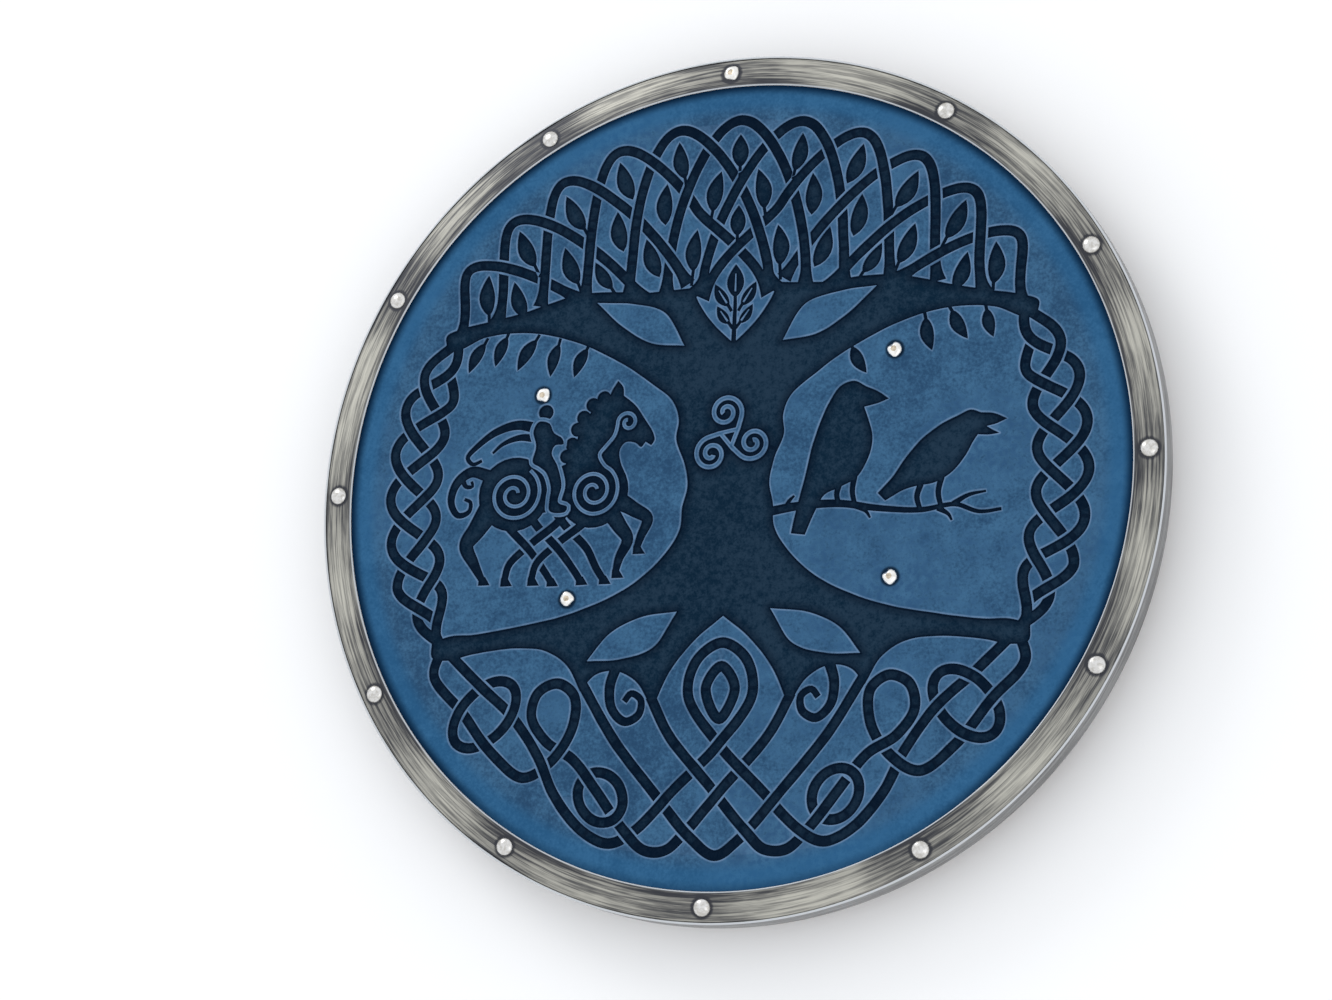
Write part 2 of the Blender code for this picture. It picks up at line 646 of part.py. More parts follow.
# from overlapping outlines to one set of clean edges
def tooledEdges(shapes):
    """The edges between raised and sunk leather, each as two points with the sunk side on its left."""
    points, faces = [], []
    for sunk, shape in shapes:
        area = sum(a[0] * b[1] - b[0] * a[1] for a, b in zip(shape, shape[1:] + shape[:1]))
        faces.append(list(range(len(points), len(points) + len(shape))))
        points += shape if area > 0 else shape[::-1]
    flat = delaunay_2d_cdt([Vector(point) * 1000 for point in points], [], faces, 1, 1e-3)
    verts, triangles, origins = flat[0], flat[2], flat[5]
    sides = {}
    for triangle, origin in zip(triangles, origins):
        if origin and shapes[max(origin)][0]:
            for a, b in zip(triangle, triangle[1:] + triangle[:1]):
                sides[(a, b)] = True
    return verts, [edge for edge in sides if edge[::-1] not in sides]


def cornerTurn(before, corner, after):
    """The turn at a corner, positive to the left."""
    turn = math.atan2(after[1] - corner[1], after[0] - corner[0])
    turn -= math.atan2(corner[1] - before[1], corner[0] - before[0])
    return (turn + math.pi) % (2 * math.pi) - math.pi


def closedLoops(verts, edges):
    """The edges chained into loops; where two loops touch at a point, each draws back from it."""
    pinchGap = 0.15
    leaving = {}
    for a, b in sorted(edges):
        leaving.setdefault(a, []).append(b)
    pinched = {a for a, ends in leaving.items() if len(ends) > 1}
    loops = []
    while leaving:
        start = at = min(leaving)
        indices = [start]
        while True:
            ends = leaving[at]
            before = verts[indices[-2]] if len(indices) > 1 else None
            ahead = max(ends, key=lambda b: cornerTurn(before, verts[at], verts[b])) if before else ends[0]
            ends.remove(ahead)
            if not ends:
                del leaving[at]
            at = ahead
            if at == start:
                break
            indices.append(at)
        loop = []
        for a, b, c in zip(indices[-1:] + indices, indices, indices[1:] + indices[:1]):
            point = verts[b]
            if b in pinched:
                inward = (verts[a] - point).normalized() + (verts[c] - point).normalized()
                side = 1 if cornerTurn(verts[a], point, verts[c]) > 0 else -1
                point = point + side * pinchGap * inward.normalized()
            loop.append(point)
        loops.append(loop)
    return loops


def simplified(loop, error):
    """The loop with only the points it needs to stay within an error."""
    def keep(low, high):
        a, b = loop[low], loop[high % len(loop)]
        span = b - a
        worst, at = 0.0, None
        for k in range(low + 1, high):
            reach = loop[k] - a
            along = max(0.0, min(1.0, reach.dot(span) / max(span.dot(span), 1e-9)))
            gap = (reach - span * along).length
            if gap > worst:
                worst, at = gap, k
        if worst <= error:
            return [low]
        return keep(low, at) + keep(at, high)
    far = max(range(len(loop)), key=lambda k: (loop[k] - loop[0]).length)
    return [loop[k] for k in keep(0, far) + keep(far, len(loop))]




# solids
def circle(radius, count, middle=(0, 0)):
    middle = Vector(middle)
    turns = [2 * math.pi * k / count for k in range(count)]
    return [middle + radius * Vector((math.cos(turn), math.sin(turn))) for turn in turns]


def fall(point):
    """How far the face lies below its middle, which it does from the rim's inner edge outwards."""
    return edgeDrop * max(0.0, (math.hypot(*point) - rimInner) / (rimOuter - rimInner))


def triangulate(loops, lines=()):
    """Flat triangles that follow every loop and line, and the edges of each loop."""
    points, edges, loopOf = [], [], []
    for index, loop in enumerate(loops):
        first, count = len(points), len(loop)
        points += [point * 1000 for point in loop]
        edges += [(first + k, first + (k + 1) % count) for k in range(count)]
        loopOf += [index] * count
    for line in lines:
        edges.append((len(points), len(points) + 1))
        points += [Vector(end) * 1000 for end in line]
    flat, runs, triangles, ignored, sources, *rest = delaunay_2d_cdt(points, edges, [], 0, 1e-4)
    parted = [[] for loop in loops]
    for (a, b), origins in zip(runs, sources):
        for origin in origins:
            if origin < len(loopOf):
                start, end = edges[origin]
                forward = (flat[b] - flat[a]).dot(points[end] - points[start]) > 0
                parted[loopOf[origin]].append((a, b) if forward else (b, a))
    return [point / 1000 for point in flat], [tuple(face) for face in triangles], parted


def faceEdges(face):
    return list(zip(face, face[1:] + face[:1]))


def insideLoops(triangles, edges):
    """The triangles that the directed edges wind around."""
    owner = {edge: index for index, face in enumerate(triangles) for edge in faceEdges(face)}
    count = {}
    for edge in edges:
        count[edge] = count.get(edge, 0) + 1
    start = next(index for edge, index in owner.items() if edge[::-1] not in owner)
    winding = {start: 0}
    waiting = [start]
    while waiting:
        index = waiting.pop()
        for edge in faceEdges(triangles[index]):
            beyond = owner.get(edge[::-1])
            if beyond is not None and beyond not in winding:
                winding[beyond] = winding[index] - count.get(edge, 0) + count.get(edge[::-1], 0)
                waiting.append(beyond)
    return {index for index, turns in winding.items() if turns > 0}


def addLayer(mesh, loops, height, up, holes, lines=(), tooling=()):
    """One skin of a sheet, sunk inside the tooling; gives its free edges by their places."""
    flat, triangles, parted = triangulate(loops + list(tooling), lines)
    tooled = [edge for run in parted[len(loops):] for edge in run]
    sunk = insideLoops(triangles, tooled)
    verts, level, free = {}, {}, {}

    def corner(index, low):
        if (index, low) not in verts:
            point = flat[index]
            verts[(index, low)] = mesh.verts.new((point.x, point.y, height(point) - toolDepth * low))
        return verts[(index, low)]

    for index, face in enumerate(triangles):
        middle = (flat[face[0]] + flat[face[1]] + flat[face[2]]) / 3
        if all((middle - Vector(hole)).length > radius for hole, radius in holes):
            low = index in sunk
            mesh.faces.new([corner(k, low) for k in (face if up else face[::-1])])
            level.update({edge: low for edge in faceEdges(face)})
    for a, b in level:
        beyond = level.get((b, a))
        if beyond is None:
            ends = [(round(flat[k].x, 6), round(flat[k].y, 6)) for k in (a, b)]
            free[tuple(ends)] = (corner(a, False), corner(b, False))
        elif level[(a, b)] and not beyond:
            mesh.faces.new([corner(a, True), corner(a, False), corner(b, False), corner(b, True)])
    return free


def sheet(outer, holes, top, bottom, topLoops=(), bottomLoops=(), lines=(), tooling=()):
    """A sheet between two heights, with round holes through it and tooling in its upper skin."""
    mesh = bmesh.new()
    bores = [circle(radius, boreSides, middle) for middle, radius in holes]
    above = addLayer(mesh, [outer] + bores + list(topLoops), top, True, holes, lines, tooling)
    below = addLayer(mesh, [outer] + bores + list(bottomLoops), bottom, False, holes, lines)
    for edge, (a, b) in above.items():
        c, d = below[edge]
        mesh.faces.new([b, a, c, d])
    return mesh


def turned(profile, sides):
    """A solid turned from a closed (radius, height) profile that runs anticlockwise."""
    mesh = bmesh.new()
    rings = []
    for radius, height in profile:
        if radius:
            rings.append([mesh.verts.new((p.x, p.y, height)) for p in circle(radius, sides)])
        else:
            rings.append([mesh.verts.new((0, 0, height))] * sides)
    for low, high in zip(rings, rings[1:] + rings[:1]):
        for k in range(sides):
            following = (k + 1) % sides
            face = list(dict.fromkeys([low[k], low[following], high[following], high[k]]))
            if len(face) > 2:
                mesh.faces.new(face)
    return mesh


def surface(name, color, roughness, metallic=0.0):
    material = bpy.data.materials.new(name)
    material.use_nodes = True
    shader = material.node_tree.nodes["Principled BSDF"]
    shader.inputs["Base Color"].default_value = (*color, 1)
    shader.inputs["Roughness"].default_value = roughness
    shader.inputs["Metallic"].default_value = metallic
    return material


def addPart(name, mesh, material, smoothAngle=35):
    bmesh.ops.triangulate(mesh, faces=mesh.faces)
    bmesh.ops.recalc_face_normals(mesh, faces=mesh.faces)
    data = bpy.data.meshes.new(name)
    mesh.to_mesh(data)
    mesh.free()
    data.materials.append(material)
    data.shade_smooth()
    data.set_sharp_from_angle(angle=math.radians(smoothAngle))
    part = bpy.data.objects.new(name, data)
    bpy.context.collection.objects.link(part)
    return part


def strapHoles():
    return [(place, boreRadius) for pair in strapRivets.values() for place in pair]


def makeBoard():
    mesh = sheet(circle(boardRadius, ringSides), strapHoles(),
                 lambda point: boardTop - fall(point), lambda point: boardBottom,
                 topLoops=[circle(rimInner, ringSides)])
    addPart("board", mesh, surface("bare board", (0.46, 0.31, 0.18), 0.7))


def makeFacing():
    size = shieldRadius / 1000
    tooling = []
    for loop in closedLoops(*tooledEdges(designShapes())):
        area = sum(a.cross(b) for a, b in zip(loop, loop[1:] + loop[:1])) / 2 * size * size
        if abs(area) > smallestArea:
            tooling.append([point * size for point in simplified(loop, outlineError / size)])
    mesh = sheet(circle(boardRadius, ringSides), strapHoles(),
                 lambda point: leatherTop - fall(point), lambda point: leatherBottom - fall(point),
                 topLoops=[circle(rimInner, ringSides)], bottomLoops=[circle(rimInner, ringSides)],
                 tooling=tooling)
    addPart("leather_facing", mesh, surface("blue tooled leather", (0.045, 0.14, 0.3), 0.55), 20)


def makeRim():
    bottom = leatherTop + fit
    outer = bottom - edgeDrop
    mesh = turned([(rimInner, bottom), (rimOuter, outer), (rimOuter, outer + rimThickness),
                   (rimInner, bottom + rimThickness)], ringSides)
    addPart("rim_ring", mesh, surface("brushed steel", (0.42, 0.41, 0.38), 0.35, 1.0))


def makeHoop():
    top = leatherTop + fit - edgeDrop + rimThickness + hoopLip
    inner = shieldRadius - hoopThickness
    backInner = shieldRadius - hoopBackWidth
    shelf = hoopBottom + hoopThickness
    mesh = turned([(backInner, hoopBottom), (shieldRadius, hoopBottom), (shieldRadius, top), (inner, top),
                   (inner, shelf), (backInner, shelf)], ringSides)
    addPart("edge_hoop", mesh, surface("hoop steel", (0.4, 0.39, 0.37), 0.4, 1.0))


def domeProfile(radius, height, base):
    """A low dome's profile from its rim up to its top."""
    rings = ((1.0, 0.0), (0.9, 0.5), (0.55, 0.87), (0.0, 1.0))
    return [(radius * out, base + height * up) for out, up in rings]


def makeRimRivets():
    material = surface("polished rivet", (0.75, 0.74, 0.72), 0.25, 1.0)
    slope = math.atan2(edgeDrop, rimOuter - rimInner)
    profile = [(0, 0)] + domeProfile(rimRivetRadius, rimRivetHeight, 0)
    for number, degrees in enumerate(rimRivetTurns, 1):
        turn = math.radians(90 - degrees)
        rivet = addPart(f"rim_rivet_{number:02d}", turned(profile, rivetSides), material)
        place = Vector((rimRivetCircle * math.cos(turn), rimRivetCircle * math.sin(turn)))
        rivet.rotation_euler = (0, slope, turn)
        rivet.location = (place.x, place.y, leatherTop + fit - fall(place) + rimThickness + fit)


def makeStrapRivets():
    material = surface("strap rivet", (0.75, 0.74, 0.72), 0.25, 1.0)
    washerMaterial = surface("washer", (0.7, 0.69, 0.66), 0.35, 1.0)
    washerTop = boardBottom - fit - strapThickness - fit
    tailTop = washerTop - washerThickness - fit
    faceTop = leatherTop + fit
    profile = [(0, tailTop - tailHeight), (tailRadius * 0.75, tailTop - tailHeight * 0.8),
               (tailRadius, tailTop), (strapShankRadius, tailTop), (strapShankRadius, faceTop)]
    profile += domeProfile(strapRivetRadius, strapRivetHeight, faceTop)
    ring = [(boreRadius, washerTop - washerThickness), (washerRadius, washerTop - washerThickness),
            (washerRadius, washerTop), (boreRadius, washerTop)]
    for side, places in strapRivets.items():
        for end, (x, y) in zip(("upper", "lower"), places):
            rivet = addPart(f"strap_rivet_{side}_{end}", turned(profile, boreSides), material)
            washer = addPart(f"strap_washer_{side}_{end}", turned(ring, boreSides), washerMaterial)
            rivet.location = washer.location = (x, y, 0)


def strapDrop(along, span):
    """How far the strap hangs below the board at a distance past its first rivet."""
    fromEnd = min(along, span - along)
    share = min(1.0, max(0.0, (fromEnd - strapBend) / (strapRamp - strapBend)))
    return (strapRise - fit - strapThickness) * share * share * (3 - 2 * share)


def strapOutline(span, folds):
    """The flat outline of a strap between rivets a span apart, with rounded corners."""
    half = strapWidth / 2
    bows = [math.radians(30 * k) for k in range(4)]
    corner = [Vector((-strapTab + tabRound * (1 - math.cos(bow)), -half + tabRound * (1 - math.sin(bow))))
              for bow in bows]
    lower = corner + [Vector((along, -half)) for along in folds]
    lower += [Vector((span - point.x, point.y)) for point in corner[::-1]]
    return lower + [Vector((point.x, -point.y)) for point in lower[::-1]]


def makeStraps():
    material = surface("strap leather", (0.16, 0.08, 0.04), 0.6)
    half = strapWidth / 2
    top = boardBottom - fit
    for name, ends in zip(("arm_strap", "grip_strap"), strapRivets.values()):
        first, second = map(Vector, ends)
        span = (second - first).length
        ramp = [strapBend + (strapRamp - strapBend) * k / 5 for k in range(6)]
        folds = ramp + [span - along for along in ramp[::-1]]
        mesh = sheet(strapOutline(span, folds), [((0, 0), boreRadius), ((span, 0), boreRadius)],
                     lambda point: top - strapDrop(point.x, span),
                     lambda point: top - strapThickness - strapDrop(point.x, span),
                     lines=[((along, -half), (along, half)) for along in folds])
        strap = addPart(name, mesh, material)
        strap.location = (first.x, first.y, 0)
        strap.rotation_euler.z = math.atan2(second.y - first.y, second.x - first.x)


def makeShield():
    for old in list(bpy.data.objects):
        bpy.data.objects.remove(old, do_unlink=True)
    makeBoard()
    makeFacing()
    makeRim()
    makeHoop()
    makeRimRivets()
    makeStrapRivets()
    makeStraps()


makeShield()
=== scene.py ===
# Round shield lying face up: tooled blue leather, riveted steel edging, two straps behind.
# Run it in Blender; metres, Z up.  Each piece has its own block with its values beside it.
import math

import bmesh
import bpy
import numpy
from mathutils import Matrix, Vector, kdtree, noise
from mathutils.geometry import delaunay_2d_cdt


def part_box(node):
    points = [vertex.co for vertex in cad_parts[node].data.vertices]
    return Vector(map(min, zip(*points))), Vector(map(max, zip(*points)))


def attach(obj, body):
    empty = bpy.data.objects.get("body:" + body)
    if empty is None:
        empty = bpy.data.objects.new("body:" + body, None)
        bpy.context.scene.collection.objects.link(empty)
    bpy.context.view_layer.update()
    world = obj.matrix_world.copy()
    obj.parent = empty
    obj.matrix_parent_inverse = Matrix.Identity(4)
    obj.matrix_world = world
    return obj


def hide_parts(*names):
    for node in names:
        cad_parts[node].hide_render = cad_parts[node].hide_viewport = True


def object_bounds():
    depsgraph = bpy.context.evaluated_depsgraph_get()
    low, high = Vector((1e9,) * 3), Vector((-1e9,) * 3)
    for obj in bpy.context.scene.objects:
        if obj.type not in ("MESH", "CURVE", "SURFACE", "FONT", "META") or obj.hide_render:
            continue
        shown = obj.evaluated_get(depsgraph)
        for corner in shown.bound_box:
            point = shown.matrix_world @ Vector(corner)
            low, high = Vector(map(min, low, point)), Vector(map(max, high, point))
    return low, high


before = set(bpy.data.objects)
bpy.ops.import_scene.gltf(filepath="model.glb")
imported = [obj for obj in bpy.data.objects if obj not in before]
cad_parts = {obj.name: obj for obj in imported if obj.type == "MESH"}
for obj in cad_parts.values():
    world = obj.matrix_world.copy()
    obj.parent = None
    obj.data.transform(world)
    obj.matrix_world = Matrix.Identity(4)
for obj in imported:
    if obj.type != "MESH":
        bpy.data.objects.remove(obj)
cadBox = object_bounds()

shieldRadius = cadBox[1][0]
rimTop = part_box("rim_ring")[1][2]
hoopLow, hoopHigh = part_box("edge_hoop")
boardLow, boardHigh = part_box("board")
faceLow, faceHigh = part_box("leather_facing")
rimInner = 0.2829      # radii of the flat steel ring
rimOuter = 0.3030
edgeDrop = 0.0029      # how far the face slopes back between them
fit = 0.0003           # left between pieces that touch
print("frame loaded")


# camera, floor and light
view = {
    "place": (0.8547, -0.5987, 2.4047),
    "turn": (13.946, 20.329, 2.464),        # degrees about x, y and z
    "lens": 101.89,
    "floorSize": 40.0,
    "floorColor": (0.97, 0.97, 0.97),
    "sky": (0.95, 0.97, 1.0),
    "skyStrength": 1.02,
    "key": ((-2.0, 2.2, 1.7), 1.4, 16),       # place, size and watts
    "fill": ((2.2, -1.2, 2.4), 2.2, 6),
}


def addCamera():
    data = bpy.data.cameras.new("camera")
    data.lens = view["lens"]
    camera = bpy.data.objects.new("camera", data)
    camera.location = view["place"]
    camera.rotation_euler = [math.radians(turn) for turn in view["turn"]]
    bpy.context.scene.collection.objects.link(camera)
    bpy.context.scene.camera = camera


def addLight(name, place, size, power):
    data = bpy.data.lights.new(name, "AREA")
    data.shape = "DISK"
    data.size = size
    data.energy = power
    light = bpy.data.objects.new(name, data)
    light.location = place
    light.rotation_euler = (-Vector(place)).to_track_quat("-Z", "Y").to_euler()
    bpy.context.scene.collection.objects.link(light)


def addSky():
    world = bpy.data.worlds.new("studio")
    world.use_nodes = True
    sky = world.node_tree.nodes["Background"]
    sky.inputs["Color"].default_value = (*view["sky"], 1)
    sky.inputs["Strength"].default_value = view["skyStrength"]
    bpy.context.scene.world = world
    bpy.context.scene.view_settings.view_transform = "Standard"


addCamera()


# the pattern tooled into the face, drawn in shares of the shield's radius, x right and y up
tooling = {
    "strandWidth": 0.0245,
    "ridgeWidth": 0.0046,      # raised line left where one strand passes under another
    "crownEdge": 0.848,
    "crownBase": 0.477,        # where the arches' feet stand
    "crownRise": 0.35,         # how much higher they stand at the sides
    "arches": 5,               # on each side of the middle one
    "archStep": 10.3,          # degrees
    "archSpread": 20.5,        # degrees from an arch's top to its foot
    "archRoundness": 0.24,
    "braidRadius": 0.772,
    "braidSwing": 0.058,
    "braidWave": 23.0,         # degrees to a full swing
    "braidSpan": (62.0, 117.0),
    "leafLengths": [0.1 - 0.0062 * step for step in range(8)],      # in the crown
    "leafGap": 0.0035,
    "leafWidth": 0.4,          # share of a leaf's length
    "leafBow": 0.05,
    "stemWidth": 0.008,
    "veinWidth": 0.0042,
    "grooveWidth": 0.0085,     # of the raised spirals on the horse
    "legWidths": (0.021, 0.017),      # at the body and the hoof
    "curlWidths": (0.026, 0.015),
    "riderEdge": 0.018,        # raised line round the rider
    "hubHeight": 0.1,          # of the three-armed spiral
    "hubWidth": 0.0105,        # of its arms
    "pitch": 0.006,            # between the points of a curve
}


def mixPoints(a, b, share):
    return (a[0] + (b[0] - a[0]) * share, a[1] + (b[1] - a[1]) * share)


def smoothPath(points, closed=False):      # a spline through the points
    run = [mixPoints(points[1], points[0], 2)] + list(points) + [mixPoints(points[-2], points[-1], 2)]
    if closed:
        run = [points[-1]] + list(points) + [points[0], points[1]]
    path = []
    for a, b, c, d in zip(run, run[1:], run[2:], run[3:]):
        ta, tb = 0.0, math.dist(a, b) ** 0.5
        tc = tb + math.dist(b, c) ** 0.5
        td = tc + math.dist(c, d) ** 0.5
        count = max(2, round(math.dist(b, c) / tooling["pitch"]))
        for k in range(count):
            t = tb + (tc - tb) * k / count
            ab = mixPoints(a, b, (t - ta) / (tb - ta))
            bc = mixPoints(b, c, (t - tb) / (tc - tb))
            cd = mixPoints(c, d, (t - tc) / (td - tc))
            first = mixPoints(ab, bc, (t - ta) / (tc - ta))
            second = mixPoints(bc, cd, (t - tb) / (td - tb))
            path.append(mixPoints(first, second, (t - tb) / (tc - tb)))
    return path if closed else path + [tuple(points[-1])]


def outline(*runs):      # smooth runs that meet at corners, each starting where the one before ends
    points, corner = [], []
    for run in runs:
        points += smoothPath(corner + run)[:-1]
        corner = run[-1:]
    return points if corner == runs[0][:1] else points + corner


def mirrored(points):
    return [(-x, y) for x, y in points]


def around(x, y, radius, turn):
    return (x + radius * math.cos(turn), y + radius * math.sin(turn))


def atTurn(radius, degrees):      # clockwise from straight up
    turn = math.radians(degrees)
    return (radius * math.sin(turn), radius * math.cos(turn))


def leafPoint(x, y, lean, along, side):      # lean is the leaf's turn from straight up, in degrees
    ax, ay = atTurn(1, lean)
    return (x + ax * along + ay * side, y + ay * along - ax * side)


def ringPath(x, y, long, short, lean):
    path = []
    for k in range(24):
        turn = 2 * math.pi * k / 24
        u, v = long * math.cos(turn), short * math.sin(turn)
        across = u * math.cos(lean) - v * math.sin(lean)
        path.append((x + across, y + u * math.sin(lean) + v * math.cos(lean)))
    return smoothPath(path, True)


def spiralPath(x, y, outer, inner, start, turns):      # clockwise where turns is negative
    count = round(abs(turns) * 20)
    return [around(x, y, outer + (inner - outer) * k / count,
                   math.radians(start) + 2 * math.pi * turns * k / count) for k in range(count + 1)]


def disc(x, y, radius, count):
    return [around(x, y, radius, 2 * math.pi * k / count) for k in range(count)]


def leaf(x, y, lean, long, wide):      # the middle bows to one side
    count = 9
    rim = []
    for k in range(2 * count):
        share = k / count if k < count else 2 - k / count
        swell = wide / 2 * math.sin(math.pi * share ** 0.85) ** 0.9 if 0 < share < 1 else 0.0
        out = (swell if k < count else -swell) + tooling["leafBow"] * long * math.sin(math.pi * share)
        rim.append(leafPoint(x, y, lean, (share - 0.5) * long, out))
    return rim


def leafVein(x, y, lean, long):      # a raised line along a leaf, short of its tip
    half = tooling["veinWidth"] / 2
    corners = ((-0.34, -half), (-0.34, half), (0.22, half * 0.5), (0.22, -half * 0.5))
    return [leafPoint(x, y, lean, long * along, side) for along, side in corners]


# the tree: trunk, limbs and roots as one sunk shape, with raised windows in its forks
def treeOutline():
    notch = [(0, 0.318), (0.05, 0.366), (0.085, 0.415), (0.103, 0.455)]
    limb = [(0.15, 0.452), (0.215, 0.45), (0.3, 0.457), (0.38, 0.455), (0.45, 0.44), (0.52, 0.421),
            (0.6, 0.405), (0.675, 0.39), (0.71, 0.375), (0.708, 0.345)]
    trunk = [(0.675, 0.34), (0.61, 0.366), (0.5, 0.37), (0.38, 0.34), (0.27, 0.285), (0.2, 0.238),
             (0.142, 0.19), (0.125, 0.145), (0.129, 0.1), (0.108, 0.045), (0.098, -0.01), (0.108, -0.06),
             (0.112, -0.11), (0.148, -0.168), (0.23, -0.238), (0.36, -0.293), (0.5, -0.322), (0.6, -0.336),
             (0.66, -0.338), (0.705, -0.352)]
    root = [(0.702, -0.388), (0.665, -0.395), (0.6, -0.382), (0.5, -0.372), (0.425, -0.38), (0.37, -0.415),
            (0.335, -0.475)]
    sole = [(0.3, -0.438), (0.25, -0.43), (0.2, -0.457), (0.16, -0.52)]
    heel = [(0.118, -0.43), (0.06, -0.36), (0, -0.312)]
    half = outline(notch, limb, trunk, root, sole, heel)
    return half + mirrored(half[1:-1])[::-1]


def treeWindows():
    limb = outline([(0.118, 0.318), (0.17, 0.4), (0.25, 0.425), (0.335, 0.432)],
                   [(0.27, 0.372), (0.2, 0.33), (0.118, 0.318)])
    root = outline([(0.11, -0.298), (0.165, -0.378), (0.24, -0.402), (0.322, -0.405)],
                   [(0.272, -0.345), (0.2, -0.31), (0.11, -0.298)])
    return [limb, mirrored(limb), root, mirrored(root)]


# the crown: a row of crossing arches over the limbs, with a leaf in each mesh
def crownPoint(level, degrees):      # level runs from the arches' feet to the crown's edge
    flat, side = 24, 44
    low = tooling["crownBase"] + tooling["crownRise"] * (max(0.0, abs(degrees) - flat) / side) ** 1.2
    return atTurn(low + (tooling["crownEdge"] - low) * level, degrees)


def crownArch(index):      # the outer ones are narrower
    narrowing, steps = 10.0, 14
    spread = tooling["archSpread"] - narrowing * (index / tooling["arches"]) ** 2
    roundness = tooling["archRoundness"]
    foot = math.hypot(1, roundness)
    path = []
    for k in range(2 * steps + 1):
        along = k / steps - 1
        level = (foot - math.hypot(along, roundness)) / (foot - roundness)
        path.append(crownPoint(level, tooling["archStep"] * index + spread * along))
    return path


def crownStrands():      # the inner feet of the second pair cross over the notch of the trunk
    strands = []
    for index in range(-tooling["arches"], tooling["arches"] + 1):
        path = crownArch(-abs(index))
        if index in (-1, 1):
            path.append((0.12, 0.425))
        if index in (-2, 2):
            path[-5:] = [(0, 0.545), (0.048, 0.49), (0.08, 0.428)]
        strands.append(smoothPath(path if index <= 0 else mirrored(path)[::-1]))
    return strands


def sprigLeaves():      # in the notch of the trunk
    return [(0, 0.464, 0, 0.08, 0.034), (0.032, 0.432, 32, 0.066, 0.028), (0.027, 0.385, 36, 0.054, 0.024)]


def crownLeaves():      # the meshes of the right half of the crown filled with leaves, the largest first
    window, inner = 0.07, 0.29      # how far off is looked at, and the share of a leaf that must be clear
    taken = []
    for path, closed, halves in map(flaredStrand, crownStrands()):
        taken += [(x, y, half) for (x, y), half in zip(path, halves) if x > -0.1]
    taken += [(x, y, 0.0) for x, y in treeOutline() if x > -0.1 and y > 0.3]
    taken += [(x, y, 0.0) for spec in sprigLeaves() for x, y in leaf(*spec)]
    spots = [(level / 20, degrees * 1.5) for degrees in range(36) for level in range(2, 18)]
    specs = []
    for long in tooling["leafLengths"]:
        wide = long * tooling["leafWidth"]
        for level, degrees in spots:
            x, y = crownPoint(level, degrees)
            near = numpy.array([row for row in taken if max(abs(row[0] - x), abs(row[1] - y)) < window])
            if numpy.hypot(near[:, 0] - x, near[:, 1] - y).min() < long * inner:
                continue
            for lean in (0, -15, 15, -30, 30, -50, 50) if degrees else (0,):
                rim = numpy.array(leaf(x, y, degrees + lean, long, wide))
                gaps = numpy.hypot(rim[:, :1] - near[:, 0], rim[:, 1:] - near[:, 1]) - near[:, 2]
                if gaps.min() > tooling["leafGap"]:
                    specs.append((x, y, degrees + lean, long, wide))
                    taken += [(x, y, 0.0) for x, y in rim] + [(-x, y, 0.0) for x, y in rim if x < 0.1]
                    break
    return specs


def hangingLeaves():      # under the limbs, clear of the rivets
    left = [(-0.37, 0.292, 204, 0.074, 0.03), (-0.435, 0.302, 194, 0.08, 0.03),
            (-0.505, 0.318, 212, 0.086, 0.032), (-0.57, 0.33, 200, 0.076, 0.03),
            (-0.63, 0.318, 208, 0.08, 0.03)]
    right = [(0.3, 0.262, 150, 0.074, 0.03), (0.46, 0.312, 168, 0.08, 0.032),
             (0.53, 0.33, 150, 0.08, 0.032), (0.6, 0.33, 165, 0.07, 0.03)]
    return left + right


# the sides: three plaited strands from limb to root
def braidStrand(index):
    top, bottom = tooling["braidSpan"]
    path = []
    count = 44
    for k in range(count + 1):
        share = k / count
        degrees = top + (bottom - top) * share
        fade = min(1.0, 5 * min(share, 1 - share)) ** 0.7
        wave = math.sin(2 * math.pi * ((degrees - top) / tooling["braidWave"] + index / 3))
        path.append(atTurn(tooling["braidRadius"] + tooling["braidSwing"] * fade * wave, degrees))
    return smoothPath(path)


# the foot: strands that fall from the roots, turn near the edge and climb again
def rootStrands():
    drop = [(0.332, -0.455), (0.25, -0.585), (0.15, -0.705), (0.055, -0.812), (0, -0.848)]
    coil = [(0, -0.372), (0.058, -0.41), (0.075, -0.49), (0, -0.6), (-0.1, -0.7), (-0.19, -0.79),
            (-0.25, -0.818), (-0.315, -0.79), (-0.385, -0.71), (-0.43, -0.62), (-0.5, -0.525),
            (-0.58, -0.455), (-0.67, -0.37)]
    swing = [(-0.165, -0.49), (-0.12, -0.575), (-0.02, -0.69), (0.07, -0.795), (0.115, -0.835),
             (0.165, -0.835), (0.215, -0.79), (0.29, -0.695), (0.345, -0.628), (0.41, -0.588),
             (0.449, -0.53), (0.436, -0.475), (0.39, -0.455), (0.348, -0.485), (0.35, -0.56),
             (0.4, -0.635), (0.465, -0.668), (0.545, -0.61), (0.62, -0.515), (0.695, -0.43),
             (0.68, -0.37)]
    whole = (drop + mirrored(drop[:-1])[::-1], mirrored(coil)[::-1] + coil[1:], swing, mirrored(swing))
    return [smoothPath(points) for points in whole]


def rootRings():
    rings = [smoothPath([(0, -0.425), (0.034, -0.475), (0, -0.545), (-0.034, -0.475)], True)]
    for ring in (ringPath(0.275, -0.715, 0.06, 0.05, 0.9), ringPath(0.565, -0.522, 0.092, 0.056, -0.785)):
        rings += [ring, mirrored(ring)]
    return rings


def rootCurl():      # a shoot that hangs between two roots and curls up
    return smoothPath([(0.25, -0.42), (0.264, -0.468), (0.256, -0.518), (0.224, -0.546), (0.192, -0.53),
                       (0.188, -0.497), (0.212, -0.482), (0.228, -0.5)])


